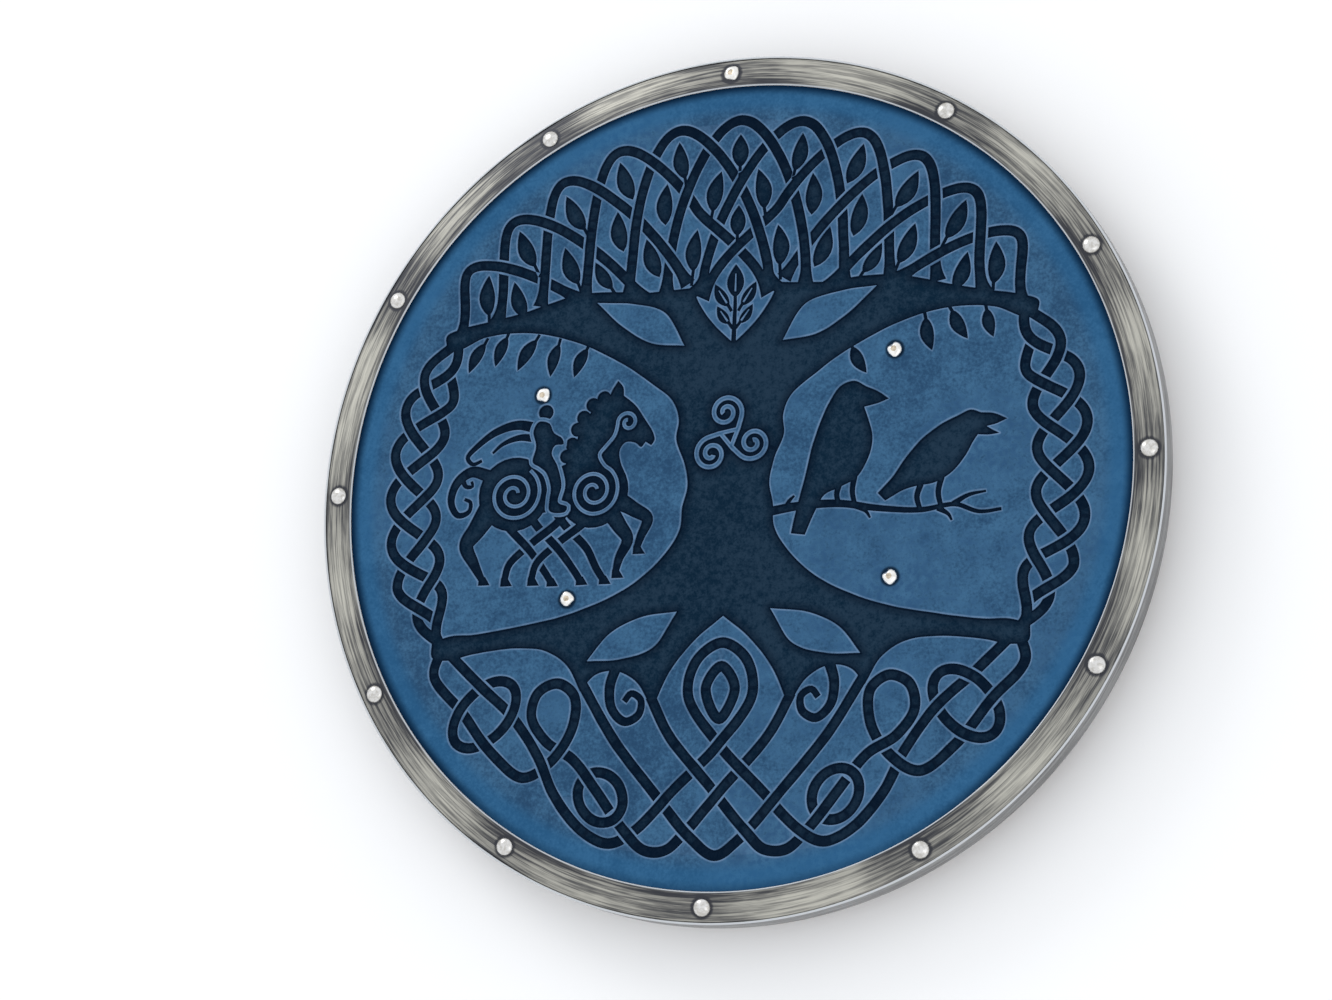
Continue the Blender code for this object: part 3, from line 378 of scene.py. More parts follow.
# the rider, looking right
def horseShapes():      # haunch and shoulder are round; the neck rises from the shoulder
    trunk = smoothPath([(-0.52, 0.07), (-0.43, 0.046), (-0.345, 0.066), (-0.33, -0.02), (-0.37, -0.062),
                        (-0.44, -0.058), (-0.5, -0.07), (-0.54, 0)], True)
    head = outline(
        [(-0.4, 0.048), (-0.378, 0.09), (-0.36, 0.14), (-0.332, 0.182), (-0.296, 0.205)],
        [(-0.29, 0.222), (-0.276, 0.244)],
        [(-0.262, 0.228), (-0.26, 0.208)],
        [(-0.232, 0.186), (-0.205, 0.15), (-0.184, 0.118), (-0.18, 0.1), (-0.188, 0.088)],
        [(-0.202, 0.097)],
        [(-0.212, 0.085), (-0.226, 0.096), (-0.25, 0.098), (-0.264, 0.08), (-0.26, 0.052), (-0.25, 0.03)],
        [(-0.3, -0.02), (-0.38, 0)])
    return [disc(-0.52, -0.012, 0.088, 30), disc(-0.325, -0.012, 0.086, 30), trunk, head]


def horseLegs():      # three hind and two fore legs cross; each runs down to a hoof
    hind = [(0, -0.05), (0.03, -0.09), (0.085, -0.145), (0.125, -0.195), (0.14, -0.217)]
    fore = [(0, -0.04), (-0.022, -0.08), (-0.082, -0.126), (-0.138, -0.175), (-0.15, -0.214)]
    places = [(-0.56, hind), (-0.488, hind), (-0.42, hind[:3] + [(0.113, -0.195), (0.128, -0.217)]),
              (-0.385, fore), (-0.318, fore)]
    return [smoothPath([(x + along, y) for along, y in leg]) for x, leg in places]


def freeLegs():      # the outer legs, with their widths at the body and the hoof
    legs = [([(-0.575, -0.04), (-0.607, -0.09), (-0.632, -0.128), (-0.612, -0.17), (-0.59, -0.21)], 0.06),
            ([(-0.29, -0.05), (-0.258, -0.095), (-0.236, -0.128), (-0.254, -0.17), (-0.262, -0.204)], 0.045),
            ([(-0.275, -0.03), (-0.225, -0.058), (-0.19, -0.082), (-0.204, -0.122), (-0.213, -0.15)], 0.045)]
    return [(smoothPath(leg), width, 0.016) for leg, width in legs]


def hoof(path):      # it spreads from the end of a leg, its toe to the right
    x, y = path[-1]
    return [(x - 0.008, y + 0.007), (x + 0.008, y + 0.007), (x + 0.021, y - 0.013), (x - 0.009, y - 0.013)]


def horseGrooves():      # a spiral on the haunch; another on the shoulder runs up the neck to the cheek
    cheek = spiralPath(-0.247, 0.145, 0.026, 0.006, 190, -1.25)[::-1]
    neck = [(-0.279, 0.115), (-0.3, 0.09), (-0.313, 0.072)]
    shoulder = spiralPath(-0.325, -0.012, 0.064, 0.01, 66, -2.1)
    return [smoothPath(spiralPath(-0.52, -0.012, 0.067, 0.01, 56, -2.1)), smoothPath(cheek + neck + shoulder)]


def maneCurls(radius, count):      # round locks down the back of the neck, or the stud in each
    path = smoothPath([(-0.4, 0.062), (-0.382, 0.1), (-0.365, 0.146), (-0.335, 0.19), (-0.297, 0.21)])
    return [disc(*path[round((len(path) - 1) * (k + 0.3) / 5.6)], radius, count) for k in range(6)]


def riderOutline():
    return smoothPath([(-0.478, 0.062), (-0.472, 0.1), (-0.48, 0.135), (-0.468, 0.157), (-0.44, 0.152),
                       (-0.428, 0.13), (-0.408, 0.116), (-0.404, 0.102), (-0.424, 0.1), (-0.432, 0.082),
                       (-0.416, 0.05), (-0.404, 0.005), (-0.41, -0.035), (-0.388, -0.046), (-0.392, -0.058),
                       (-0.43, -0.055), (-0.432, -0.03), (-0.43, 0), (-0.443, 0.035), (-0.46, 0.05)], True)


def riderTapers():      # the horse's tail and the rider's cloak, with widths at root and tip
    tail = [(-0.585, 0.035), (-0.628, 0.046), (-0.665, 0.02), (-0.676, -0.025), (-0.656, -0.056),
            (-0.63, -0.048), (-0.628, -0.026), (-0.643, -0.018)]
    lock = [(-0.652, 0.034), (-0.64, 0.012), (-0.624, 0.012), (-0.627, 0.024)]
    cloak = [(-0.47, 0.142), (-0.52, 0.152), (-0.572, 0.138), (-0.615, 0.108), (-0.64, 0.08), (-0.626, 0.064),
             (-0.604, 0.072)]
    fold = [(-0.472, 0.118), (-0.515, 0.122), (-0.555, 0.108), (-0.578, 0.088)]
    widths = ((tail, 0.03, 0.008), (lock, 0.014, 0.007), (cloak, 0.026, 0.008), (fold, 0.02, 0.006))
    return [(smoothPath(points), root, tip) for points, root, tip in widths]


# the ravens on their twig, both looking right, the second one calling
def ravenOutlines():
    standing = outline(
        [(0.372, 0.168), (0.347, 0.186), (0.318, 0.2)],
        [(0.29, 0.214), (0.257, 0.203), (0.232, 0.167), (0.212, 0.12), (0.196, 0.07), (0.184, 0.015),
         (0.17, -0.045), (0.16, -0.09), (0.152, -0.13)],
        [(0.185, -0.134)],
        [(0.203, -0.09), (0.228, -0.045), (0.262, -0.03), (0.302, -0.008), (0.328, 0.035), (0.336, 0.08),
         (0.326, 0.12), (0.315, 0.152)],
        [(0.34, 0.157), (0.372, 0.168)])
    calling = outline(
        [(0.645, 0.108), (0.612, 0.123), (0.585, 0.126)],
        [(0.56, 0.134), (0.53, 0.122), (0.49, 0.103), (0.45, 0.073), (0.415, 0.033), (0.384, -0.012),
         (0.352, -0.046)],
        [(0.37, -0.064)],
        [(0.41, -0.042), (0.44, -0.034), (0.48, -0.028), (0.52, -0.006), (0.55, 0.03), (0.566, 0.058),
         (0.578, 0.076)],
        [(0.602, 0.074), (0.628, 0.076)],
        [(0.61, 0.086), (0.598, 0.094)],
        [(0.62, 0.098), (0.645, 0.108)])
    return [standing, calling]


def twigTapers():      # the twig, its spurs and the ravens' legs, with widths at root and tip
    stem = [(0.09, -0.08), (0.17, -0.068), (0.26, -0.066), (0.35, -0.08), (0.45, -0.088), (0.53, -0.078),
            (0.585, -0.097), (0.635, -0.094)]
    spurs = [[(0.525, -0.077), (0.56, -0.058), (0.6, -0.052)],
             [(0.3, -0.073), (0.325, -0.086), (0.336, -0.102)],
             [(0.14, -0.07), (0.146, -0.056), (0.158, -0.044)],
             [(0.49, -0.085), (0.515, -0.1), (0.523, -0.114)]]
    legs = [[(0.262, -0.02), (0.256, -0.046), (0.262, -0.07)],
            [(0.297, -0.002), (0.292, -0.04), (0.3, -0.074)],
            [(0.45, -0.03), (0.442, -0.058), (0.45, -0.088)],
            [(0.497, -0.015), (0.49, -0.05), (0.498, -0.084)]]
    widths = [(stem, 0.022, 0.008)] + [(spur, 0.014, 0.005) for spur in spurs]
    widths += [(leg, 0.015, 0.011) for leg in legs]
    return [(smoothPath(points), root, tip) for points, root, tip in widths]


def triskeleArms():      # the three-armed spiral that stands up out of the trunk
    middle = (0, tooling["hubHeight"])
    arms = []
    for turn in (-18, 102, 222):
        curl = around(*middle, 0.058, math.radians(turn))
        lead = around(*middle, 0.024, math.radians(turn - 62))
        arms.append(smoothPath([lead] + spiralPath(*curl, 0.039, 0.006, turn - 112, 1.6)))
    return arms


def triskeleHub(radius):
    return [around(0, tooling["hubHeight"], radius, math.radians(turn)) for turn in (-80, 40, 160)]


# weaving: where strands cross, one passes under and stops short of the other
def evenStrand(path, closed=False, rootWidth=tooling["strandWidth"], tipWidth=tooling["strandWidth"]):
    last = len(path) - 1
    return (path, closed, [(rootWidth + (tipWidth - rootWidth) * k / last) / 2 for k in range(last + 1)])


def flaredStrand(path):      # wider where it grows out of a limb
    flare, reach = 0.015, 0.05
    along = [0]
    for a, b in zip(path, path[1:]):
        along.append(along[-1] + math.dist(a, b))
    shares = [max(0, 1 - min(place, along[-1] - place) / reach) for place in along]
    return (path, False, [(tooling["strandWidth"] + flare * share * share) / 2 for share in shares])


def edgePoint(strand, index, side):
    path, closed, halves = strand
    count = len(path)
    before, after = (index - 1, index + 1) if closed else (max(index - 1, 0), min(index + 1, count - 1))
    a, b = path[before % count], path[after % count]
    x, y = path[index % count]
    out = side * halves[index % count] / math.dist(a, b)
    return (x - (b[1] - a[1]) * out, y + (b[0] - a[0]) * out)


def strandEdge(strand, low, high, side):
    return [edgePoint(strand, k, side) for k in range(low, high + 1)]


def ribbon(strand, low, high):      # the outline of a stretch of a strand
    return strandEdge(strand, low, high, -1) + strandEdge(strand, low, high, 1)[::-1]


def plainRibbons(path, rootWidth, tipWidth):      # a strand that weaves with nothing, in short stretches
    strand = evenStrand(path, False, rootWidth, tipWidth)
    last, stretch = len(path) - 1, 12
    return [ribbon(strand, low, min(low + stretch, last)) for low in range(0, last, stretch)]


def segmentMeeting(a, b, c, d):
    rx, ry, sx, sy = b[0] - a[0], b[1] - a[1], d[0] - c[0], d[1] - c[1]
    cross = rx * sy - ry * sx
    if abs(cross) < 1e-12:
        return None
    t = ((c[0] - a[0]) * sy - (c[1] - a[1]) * sx) / cross
    u = ((c[0] - a[0]) * ry - (c[1] - a[1]) * rx) / cross
    return (t, u) if 0 <= t < 1 and 0 <= u < 1 else None


def findCrossings(strands):      # every place where two strands cross, as (strand, place, strand, place)
    cellSize, nearby, endClear = 0.02, 6, 7
    cells = {}
    for s, (path, closed, halves) in enumerate(strands):
        for i, (a, b) in enumerate(zip(path, path[1:] + path[:closed])):
            spots = (a, mixPoints(a, b, 0.5), b)
            for cell in {(math.floor(x / cellSize), math.floor(y / cellSize)) for x, y in spots}:
                cells.setdefault(cell, []).append((s, i, a, b))
    found = {}
    for cell in sorted(cells):
        for k, (s, i, a, b) in enumerate(cells[cell]):
            for t, j, c, d in cells[cell][k + 1:]:
                if s == t and min(abs(i - j), len(strands[s][0]) - abs(i - j)) < nearby:
                    continue
                hit = segmentMeeting(a, b, c, d)
                if hit:
                    found[(s, i, t, j)] = (s, i + hit[0], t, j + hit[1])

    def inside(s, at):      # clear of a free end
        path, closed, halves = strands[s]
        return closed or endClear <= at <= len(path) - 1 - endClear
    return [row for key, row in sorted(found.items()) if inside(*row[:2]) and inside(*row[2:])]


def alternate(strands, crossings):
    # the crossings along each strand, and for each crossing which of its two strands is on top
    passes = [[] for strand in strands]
    for c, (s, i, t, j) in enumerate(crossings):
        passes[s].append((i, c, 0))
        passes[t].append((j, c, 1))
    links = [[] for crossing in crossings]
    for (path, closed, halves), run in zip(strands, passes):
        run.sort()
        steps = [row[1:] for row in run]
        for (c, roleA), (d, roleB) in zip(steps, steps[1:] + steps[:closed and len(run) > 2]):
            links[c].append((d, roleA ^ roleB ^ 1))
            links[d].append((c, roleA ^ roleB ^ 1))
    top = [None] * len(crossings)
    for c in range(len(crossings)):
        waiting = []
        if top[c] is None:
            top[c] = 0
            waiting = [c]
        while waiting:
            at = waiting.pop(0)
            for other, flip in links[at]:
                if top[other] is None:
                    top[other] = top[at] ^ flip
                    waiting.append(other)
    return passes, top


def clearance(point, strand, place):      # the distance from a point to the stretch of a strand about a place
    path, closed, halves = strand
    reach = 14
    best = 1.0
    for k in range(math.floor(place) - reach, math.floor(place) + reach):
        if closed or 0 <= k < len(path) - 1:
            a, b = path[k % len(path)], path[(k + 1) % len(path)]
            dx, dy = b[0] - a[0], b[1] - a[1]
            t = ((point[0] - a[0]) * dx + (point[1] - a[1]) * dy) / (dx * dx + dy * dy)
            best = min(best, math.dist(point, mixPoints(a, b, min(1.0, max(0.0, t)))))
    return best


def cutEdge(strand, place, way, side, over, overPlace):
    # where one edge of a strand stops short of the strand above it, and the next point along
    needed = over[2][math.floor(overPlace) % len(over[0])] + tooling["ridgeWidth"]
    index = math.floor(place) + (way > 0)
    before = None
    for step in range(40):
        if not strand[1] and not 0 <= index < len(strand[0]):
            break
        point = edgePoint(strand, index, side)
        gap = clearance(point, over, overPlace)
        if gap >= needed:
            if before is None:
                return point, index
            return mixPoints(before[0], point, (needed - before[1]) / (gap - before[1])), index
        before = (point, gap)
        index += way
    return None, index


def wovenRibbons(strands):
    crossings = findCrossings(strands)
    passes, top = alternate(strands, crossings)
    ribbons = []
    for strand, run in zip(strands, passes):
        path, closed, halves = strand
        count = len(path)
        if not run:
            marks = [0, count // 2, count - (not closed)]
            ribbons += [ribbon(strand, low, high) for low, high in zip(marks, marks[1:])]
            continue
        marks = [round((a[0] + b[0]) / 2) for a, b in zip(run, run[1:])]
        seam = round((run[-1][0] + run[0][0] + count) / 2)
        marks = [seam - count] + marks + [seam] if closed else [0] + marks + [count - 1]
        for (place, c, role), low, high in zip(run, marks, marks[1:]):
            if role == top[c]:
                ribbons.append(ribbon(strand, low, high))
                continue
            other, otherPlace = crossings[c][2:] if role == 0 else crossings[c][:2]
            for way, end in ((-1, low), (1, high)):
                left, leftAt = cutEdge(strand, place, way, 1, strands[other], otherPlace)
                right, rightAt = cutEdge(strand, place, way, -1, strands[other], otherPlace)
                if left is None or right is None or (leftAt - end) * way > 0 or (rightAt - end) * way > 0:
                    continue
                if way < 0:
                    ribbons.append(strandEdge(strand, low, rightAt, -1) + [right, left]
                                   + strandEdge(strand, low, leftAt, 1)[::-1])
                else:
                    ribbons.append([right] + strandEdge(strand, rightAt, high, -1)
                                   + strandEdge(strand, leftAt, high, 1)[::-1] + [left])
    return ribbons


def slantsAt(point, paths):      # the directions of the paths that pass close by a point
    reach = tooling["strandWidth"] / 2
    return [((b[0] - a[0]) / math.dist(a, b), (b[1] - a[1]) / math.dist(a, b))
            for path in paths for a, b in zip(path, path[1:]) if math.dist(point, a) < reach]


def leafShapes(spec, paths, veined=False):      # a leaf, the stem to what it grows from, and its vein
    x, y, lean, long, wide = spec
    ax, ay = atTurn(1, lean)
    half = tooling["stemWidth"] / 2
    shapes = [(True, leaf(*spec))]
    for stem in (0.005, 0.01, 0.015, 0.02, 0.025):
        reach = long / 2 + stem
        met = slantsAt(leafPoint(x, y, lean, -reach, 0), paths)
        if met:
            if max(abs(dx * ax + dy * ay) for dx, dy in met) < 0.86:      # not where it would lie along it
                near, far = -long * 0.42, -reach - 0.008
                corners = ((near, -half), (near, half), (far, half), (far, -half))
                shapes.append((True, [leafPoint(x, y, lean, *corner) for corner in corners]))
            break
    if veined:
        shapes.append((False, leafVein(*spec[:4])))
    return shapes


def designShapes():      # every outline from the bottom up, and whether it is sunk or raised
    shapes = []

    def add(sunk, outlines):
        shapes.extend((sunk, points) for points in outlines)
    legs, rider = horseLegs(), riderOutline()
    groove, border, arm = [tooling[name] for name in ("grooveWidth", "riderEdge", "hubWidth")]
    strands = [flaredStrand(path) for path in crownStrands()] + [evenStrand(path) for path in rootStrands()]
    for path in map(braidStrand, range(3)):
        strands += [evenStrand(path), evenStrand(mirrored(path))]
    strands += [evenStrand(path, True) for path in rootRings()]
    strands += [evenStrand(path, False, *tooling["legWidths"]) for path in legs]
    add(True, [treeOutline()])
    add(False, treeWindows())
    add(True, wovenRibbons(strands))
    paths = crownStrands() + [treeOutline()]
    leaves = [part for spec in crownLeaves() for part in leafShapes(spec, paths)]
    sprig = [(0, 0.31 + 0.01 * k) for k in range(14)]
    leaves += [part for spec in sprigLeaves() for part in leafShapes(spec, paths + [sprig], True)]
    leaves += [(True, plain) for plain in plainRibbons(sprig, 0.012, 0.008)]
    shapes += leaves + [(sunk, mirrored(shape)) for sunk, shape in leaves]
    for spec in hangingLeaves():
        shapes += leafShapes(spec, paths)
    riderHead = disc(-0.45, 0.178, 0.0185, 20)
    add(True, ravenOutlines() + maneCurls(0.017, 20) + horseShapes() + [riderHead])
    curls = [(path, *tooling["curlWidths"]) for path in (rootCurl(), mirrored(rootCurl()))]
    for taper in curls + twigTapers() + riderTapers() + freeLegs():
        add(True, plainRibbons(*taper))
    add(True, [hoof(path) for path in legs + [leg[0] for leg in freeLegs()]])
    add(False, maneCurls(0.0042, 8))
    for path in horseGrooves():
        add(False, plainRibbons(path, groove, groove))
    add(False, plainRibbons(rider + rider[:3], border, border))
    add(True, [rider])
    for path in triskeleArms():
        add(False, plainRibbons(path, arm, arm))
    add(False, [triskeleHub(0.034)])
    add(True, [triskeleHub(0.015)])
    return shapes


# from overlapping outlines to one set of clean edges
def pairsOf(loop):      # each point of a loop with the next
    return list(zip(loop, loop[1:] + loop[:1]))


def cornersOf(loop):      # each point of a loop between its neighbours
    return list(zip(loop[-1:] + loop, loop, loop[1:] + loop[:1]))


def tooledEdges(shapes):
    # the edges between raised and sunk leather, each as two points with the sunk side on its left;
    # where outlines overlap, the last one counts
    points, faces = [], []
    for sunk, shape in shapes:
        area = sum(a[0] * b[1] - b[0] * a[1] for a, b in pairsOf(shape))
        faces.append(list(range(len(points), len(points) + len(shape))))
        points += shape if area > 0 else shape[::-1]
    made = delaunay_2d_cdt([Vector(point) * 1000 for point in points], [], faces, 1, 1e-3)
    verts, triangles, origins = made[0], made[2], made[5]
    sides = {}
    for triangle, origin in zip(triangles, origins):
        if origin and shapes[max(origin)][0]:
            sides.update(dict.fromkeys(pairsOf(triangle)))
    return verts, [edge for edge in sides if edge[::-1] not in sides]


def cornerTurn(before, corner, after):      # the turn at a corner, positive to the left
    turn = math.atan2(after[1] - corner[1], after[0] - corner[0])
    turn -= math.atan2(corner[1] - before[1], corner[0] - before[0])
    return (turn + math.pi) % (2 * math.pi) - math.pi


def closedLoops(verts, edges):
    # the edges chained into loops; where two loops touch at a point, each draws back from it
    pinchGap = 0.15
    leaving = {}
    for a, b in sorted(edges):
        leaving.setdefault(a, []).append(b)
    pinched = {a for a, ends in leaving.items() if len(ends) > 1}
    loops = []
    while leaving:
        start = at = min(leaving)
        indices = [start]
        while True:
            ends = leaving[at]
            before = verts[indices[-2]] if len(indices) > 1 else None
            ahead = max(ends, key=lambda b: cornerTurn(before, verts[at], verts[b])) if before else ends[0]
            ends.remove(ahead)
            if not ends:
                del leaving[at]
            at = ahead
            if at == start:
                break
            indices.append(at)
        loop = []
        for a, b, c in cornersOf(indices):
            point = verts[b]
            if b in pinched:
                inward = (verts[a] - point).normalized() + (verts[c] - point).normalized()
                side = 1 if cornerTurn(verts[a], point, verts[c]) > 0 else -1
                point = point + side * pinchGap * inward.normalized()
            loop.append(point)
        loops.append(loop)
    return loops


def segmentGap(point, a, b):      # the distance from a point to the stretch from a to b
    reach, span = point - a, b - a
    share = min(1.0, max(0.0, reach.dot(span) / (span.length_squared or 1.0)))
    return (reach - span * share).length


def simplified(loop, error):      # the loop with only the points it needs to stay within an error
    def keep(low, high):
        gaps = [segmentGap(point, loop[low], loop[high % len(loop)]) for point in loop[low + 1:high]]
        if not gaps or max(gaps) <= error:
            return [low]
        at = low + 1 + gaps.index(max(gaps))
        return keep(low, at) + keep(at, high)
    far = max(range(len(loop)), key=lambda k: (loop[k] - loop[0]).length)
    return [loop[k] for k in keep(0, far) + keep(far, len(loop))]


# the leather face
face = {
    "smallest": 5.0,           # square millimetres that a knife can lift
    "stray": 0.035,            # millimetres that a tooled edge may lose when it is simplified
    "levels": ((-1.2, -0.02), (-0.5, -0.07), (-0.16, -0.18), (0.0, -0.45), (0.2, -0.95), (0.5, -1.12),
               (1.2, -1.1)),      # millimetres past the tooled edge, and the height there
    "farthest": 9.0,           # millimetres past the edge that the finish can read
    "longestStep": 0.0026,     # along a tooled edge
    "longestLink": 0.0040,     # along the lines beside it
    "gridPitch": 0.0042,
    "gridClear": 0.0024,       # from the tooled edges
    "wobble": ((0.00045, 22.0), (0.0002, 85.0)),      # how far the hand strays, and waves to a metre
    "swell": ((0.00016, 16.0), (0.00006, 60.0)),
}


def fall(x, y):      # the face slopes back under the rim
    return edgeDrop * max(0.0, (math.hypot(x, y) - rimInner) / (rimOuter - rimInner))


def handDrawn(point):      # a curve's point as a hand would cut it
    moved = Vector((point.x, point.y))
    for reach, waves in face["wobble"]:
        for axis in (0, 1):
            place = Vector((point.x * waves, point.y * waves, waves * (1 + axis)))
            moved[axis] += reach * noise.noise(place)
    return moved


def tooledLoops():
    verts, edges = tooledEdges(designShapes())
    size = shieldRadius / 1000
    loops = []
    for loop in closedLoops(verts, edges):
        area = sum(a.cross(b) for a, b in pairsOf(loop)) / 2
        if abs(area) * size * size * 1e6 < face["smallest"]:
            continue
        kept = simplified([handDrawn(point * size) * 1000 for point in loop], face["stray"])
        run = []
        for a, b in pairsOf(kept):
            count = math.ceil((b - a).length / 1000 / face["longestStep"])
            run += [a.lerp(b, k / count) / 1000 for k in range(count)]
        loops.append(run)
    return loops


def edgeField(loops):      # the distance from any place to the nearest tooled edge
    pitch = 0.0006
    spots = []
    for a, b in [pair for loop in loops for pair in pairsOf(loop)]:
        count = math.ceil((b - a).length / pitch)
        spots += [(a.lerp(b, k / count), a.lerp(b, (k + 1) / count)) for k in range(count)]
    tree = kdtree.KDTree(len(spots))
    for index, (a, b) in enumerate(spots):
        tree.insert(((a + b) / 2).to_3d(), index)
    tree.balance()

    def distance(x, y):
        near = tree.find_n((x, y, 0), 3)
        return min(segmentGap(Vector((x, y)), *spots[index]) for place, index, gap in near)
    return distance


def besideLoop(loop, offset):      # the loop's points moved to its left, or None where it turns too sharply
    moved = []
    for a, b, c in cornersOf(loop):
        before, after = (b - a).normalized(), (c - b).normalized()
        side = Vector((-before.y - after.y, before.x + after.x))
        share = side.length_squared / 2
        moved.append(b + side * (offset / share) if share >= 0.25 else None)
    return moved


def facePoints(loops, distance, bores):
    points, edges = [], []

    def addLoop(loop):
        first, count = len(points), len(loop)
        points.extend(loop)
        edges.extend((first + k, first + (k + 1) % count) for k in range(count))
    for loop in loops:
        addLoop(loop)
    looped = len(edges)
    for loop, offset in [(loop, offset) for offset, height in face["levels"] if offset for loop in loops]:
        last = None
        for point in besideLoop(loop, offset / 1000):
            if point is None or distance(*point) < 0.0009 * abs(offset):      # another edge is nearer
                last = None
                continue
            points.append(point)
            if last is not None and (points[last] - point).length < face["longestLink"]:
                edges.append((last, len(points) - 1))
            last = len(points) - 1
    center, bore = Vector((0, 0)), rivets["boreRadius"]
    rings = [(center, rimInner, 240), (center, boardHigh[0], 240)] + [(middle, bore, 24) for middle in bores]
    for middle, radius, count in rings:
        turns = [2 * math.pi * k / count for k in range(count)]
        addLoop([middle + radius * Vector((math.cos(turn), math.sin(turn))) for turn in turns])
    pitch, rowStep = face["gridPitch"], 0.866
    reach = math.ceil(rimInner / pitch)
    for row in range(-reach, reach + 1):
        for column in range(-reach, reach + 1):
            point = Vector((column + row % 2 / 2, row * rowStep)) * pitch
            clear = min((point - middle).length for middle in bores) > bore + 0.001
            if clear and point.length < rimInner - pitch * 0.6 and distance(*point) > face["gridClear"]:
                points.append(point)
    return points, edges, looped


def insideLoops(triangles, edges):      # the triangles that the directed edges wind around
    owner = {edge: index for index, corners in enumerate(triangles) for edge in pairsOf(corners)}
    count = {}
    for edge in edges:
        count[edge] = count.get(edge, 0) + 1
    start = next(index for edge, index in owner.items() if edge[::-1] not in owner)
    winding = {start: 0}
    waiting = [start]
    while waiting:
        index = waiting.pop()
        for edge in pairsOf(triangles[index]):
            beyond = owner.get(edge[::-1])
            if beyond is not None and beyond not in winding:
                winding[beyond] = winding[index] - count.get(edge, 0) + count.get(edge[::-1], 0)
                waiting.append(beyond)
    return {index for index, turns in winding.items() if turns > 0}


def faceHeight(x, y, past):      # the leather's height at a place that lies past the tooled edge
    height = float(numpy.interp(past * 1000, *zip(*face["levels"]))) / 1000
    for reach, waves in face["swell"]:
        height += reach * noise.noise(Vector((x * waves, y * waves, 3.0)))
    return faceHigh[2] + height - fall(x, y)


def openEdges(mesh):
    return [edge for edge in mesh.edges if edge.is_boundary]


def extruded(mesh, edges):      # the new points
    made = bmesh.ops.extrude_edge_only(mesh, edges=edges)["geom"]
    return [item for item in made if isinstance(item, bmesh.types.BMVert)]


def makeFace(material):
    loops = tooledLoops()
    distance = edgeField(loops)
    bores = [place.xy for place in strapRivetPlaces()]
    points, edges, looped = facePoints(loops, distance, bores)
    print("face:", len(loops), "loops,", len(points), "points")
    made = delaunay_2d_cdt([point * 1000 for point in points], edges, [], 0, 1e-4)
    flat = [point / 1000 for point in made[0]]
    triangles = [tuple(corners) for corners in made[2]]
    directed, onEdge = [], set()
    for (a, b), origins in zip(made[1], made[4]):
        for start, end in [edges[origin] for origin in origins if origin < looped]:
            forward = (flat[b] - flat[a]).dot(points[end] - points[start]) > 0
            directed.append((a, b) if forward else (b, a))
            onEdge.update((a, b))
    within = {corner for index in insideLoops(triangles, directed) for corner in triangles[index]}
    past = []
    for index, point in enumerate(flat):
        side = 0 if index in onEdge else 1 if index in within else -1
        past.append(side * distance(*point))

    mesh = bmesh.new()
    edgeGap = mesh.verts.layers.float.new("edgeGap")      # millimetres past the tooled edge
    top = [mesh.verts.new((point.x, point.y, faceHeight(*point, gap))) for point, gap in zip(flat, past)]
    for vert, gap in zip(top, past):
        vert[edgeGap] = max(-face["farthest"], min(face["farthest"], gap * 1000))
    for corners in triangles:
        middle = sum((flat[corner] for corner in corners), Vector((0, 0))) / 3
        if min((middle - bore).length for bore in bores) > rivets["boreRadius"]:
            mesh.faces.new([top[corner] for corner in corners])
    underside = boardHigh[2] + fit
    for vert in extruded(mesh, openEdges(mesh)):
        vert.co.z = faceLow[2] if vert.co.xy.length > rimInner else underside
        vert[edgeGap] = -face["farthest"]
    for vert in extruded(mesh, [edge for edge in openEdges(mesh) if edge.verts[0].co.xy.length > rimInner]):
        vert.co.xy *= rimInner / boardHigh[0]
        vert.co.z = underside
    bmesh.ops.triangle_fill(mesh, edges=openEdges(mesh), use_beauty=True)
    bmesh.ops.triangulate(mesh, faces=[corners for corners in mesh.faces if len(corners.verts) > 3])
    bmesh.ops.remove_doubles(mesh, verts=mesh.verts, dist=0.00001)
    bmesh.ops.recalc_face_normals(mesh, faces=mesh.faces)
    data = bpy.data.meshes.new("tooledFace")
    mesh.to_mesh(data)
    mesh.free()
    data.materials.append(material)
    data.shade_smooth()
    data.set_sharp_from_angle(angle=math.radians(60))
    piece = bpy.data.objects.new("tooledFace", data)
    bpy.context.scene.collection.objects.link(piece)
    finishPiece(piece, "facing", "leather_facing")
    print("face:", len(data.polygons), "triangles")


# materials: small helpers, then one finish for each kind of surface
def addNode(tree, kind, inputs, **settings):
    node = tree.nodes.new(kind)
    for key, value in settings.items():
        setattr(node, key, value)
    for key, value in inputs.items():
        if isinstance(value, bpy.types.NodeSocket):
            tree.links.new(value, node.inputs[key])
        else:      # a tuple is a color
            node.inputs[key].default_value = (*value, 1) if isinstance(value, tuple) else value
    return node


def startMaterial(name, metallic=0.0):      # with the place on the piece, which the finishes read
    material = bpy.data.materials.new(name)
    material.use_nodes = True
    tree = material.node_tree
    shader = tree.nodes["Principled BSDF"]
    shader.inputs["Metallic"].default_value = metallic
    return material, tree, shader, addNode(tree, "ShaderNodeTexCoord", {}).outputs["Object"]


def finishMaterial(tree, shader, color, rough, relief, depth, strength):
    bump = addNode(tree, "ShaderNodeBump", {"Height": relief, "Distance": depth, "Strength": strength})
    for key, value in (("Base Color", color), ("Roughness", rough), ("Normal", bump.outputs[0])):
        tree.links.new(value, shader.inputs[key])


def mathNode(tree, operation, a, b=0.0, c=0.0):
    return addNode(tree, "ShaderNodeMath", {0: a, 1: b, 2: c}, operation=operation).outputs[0]


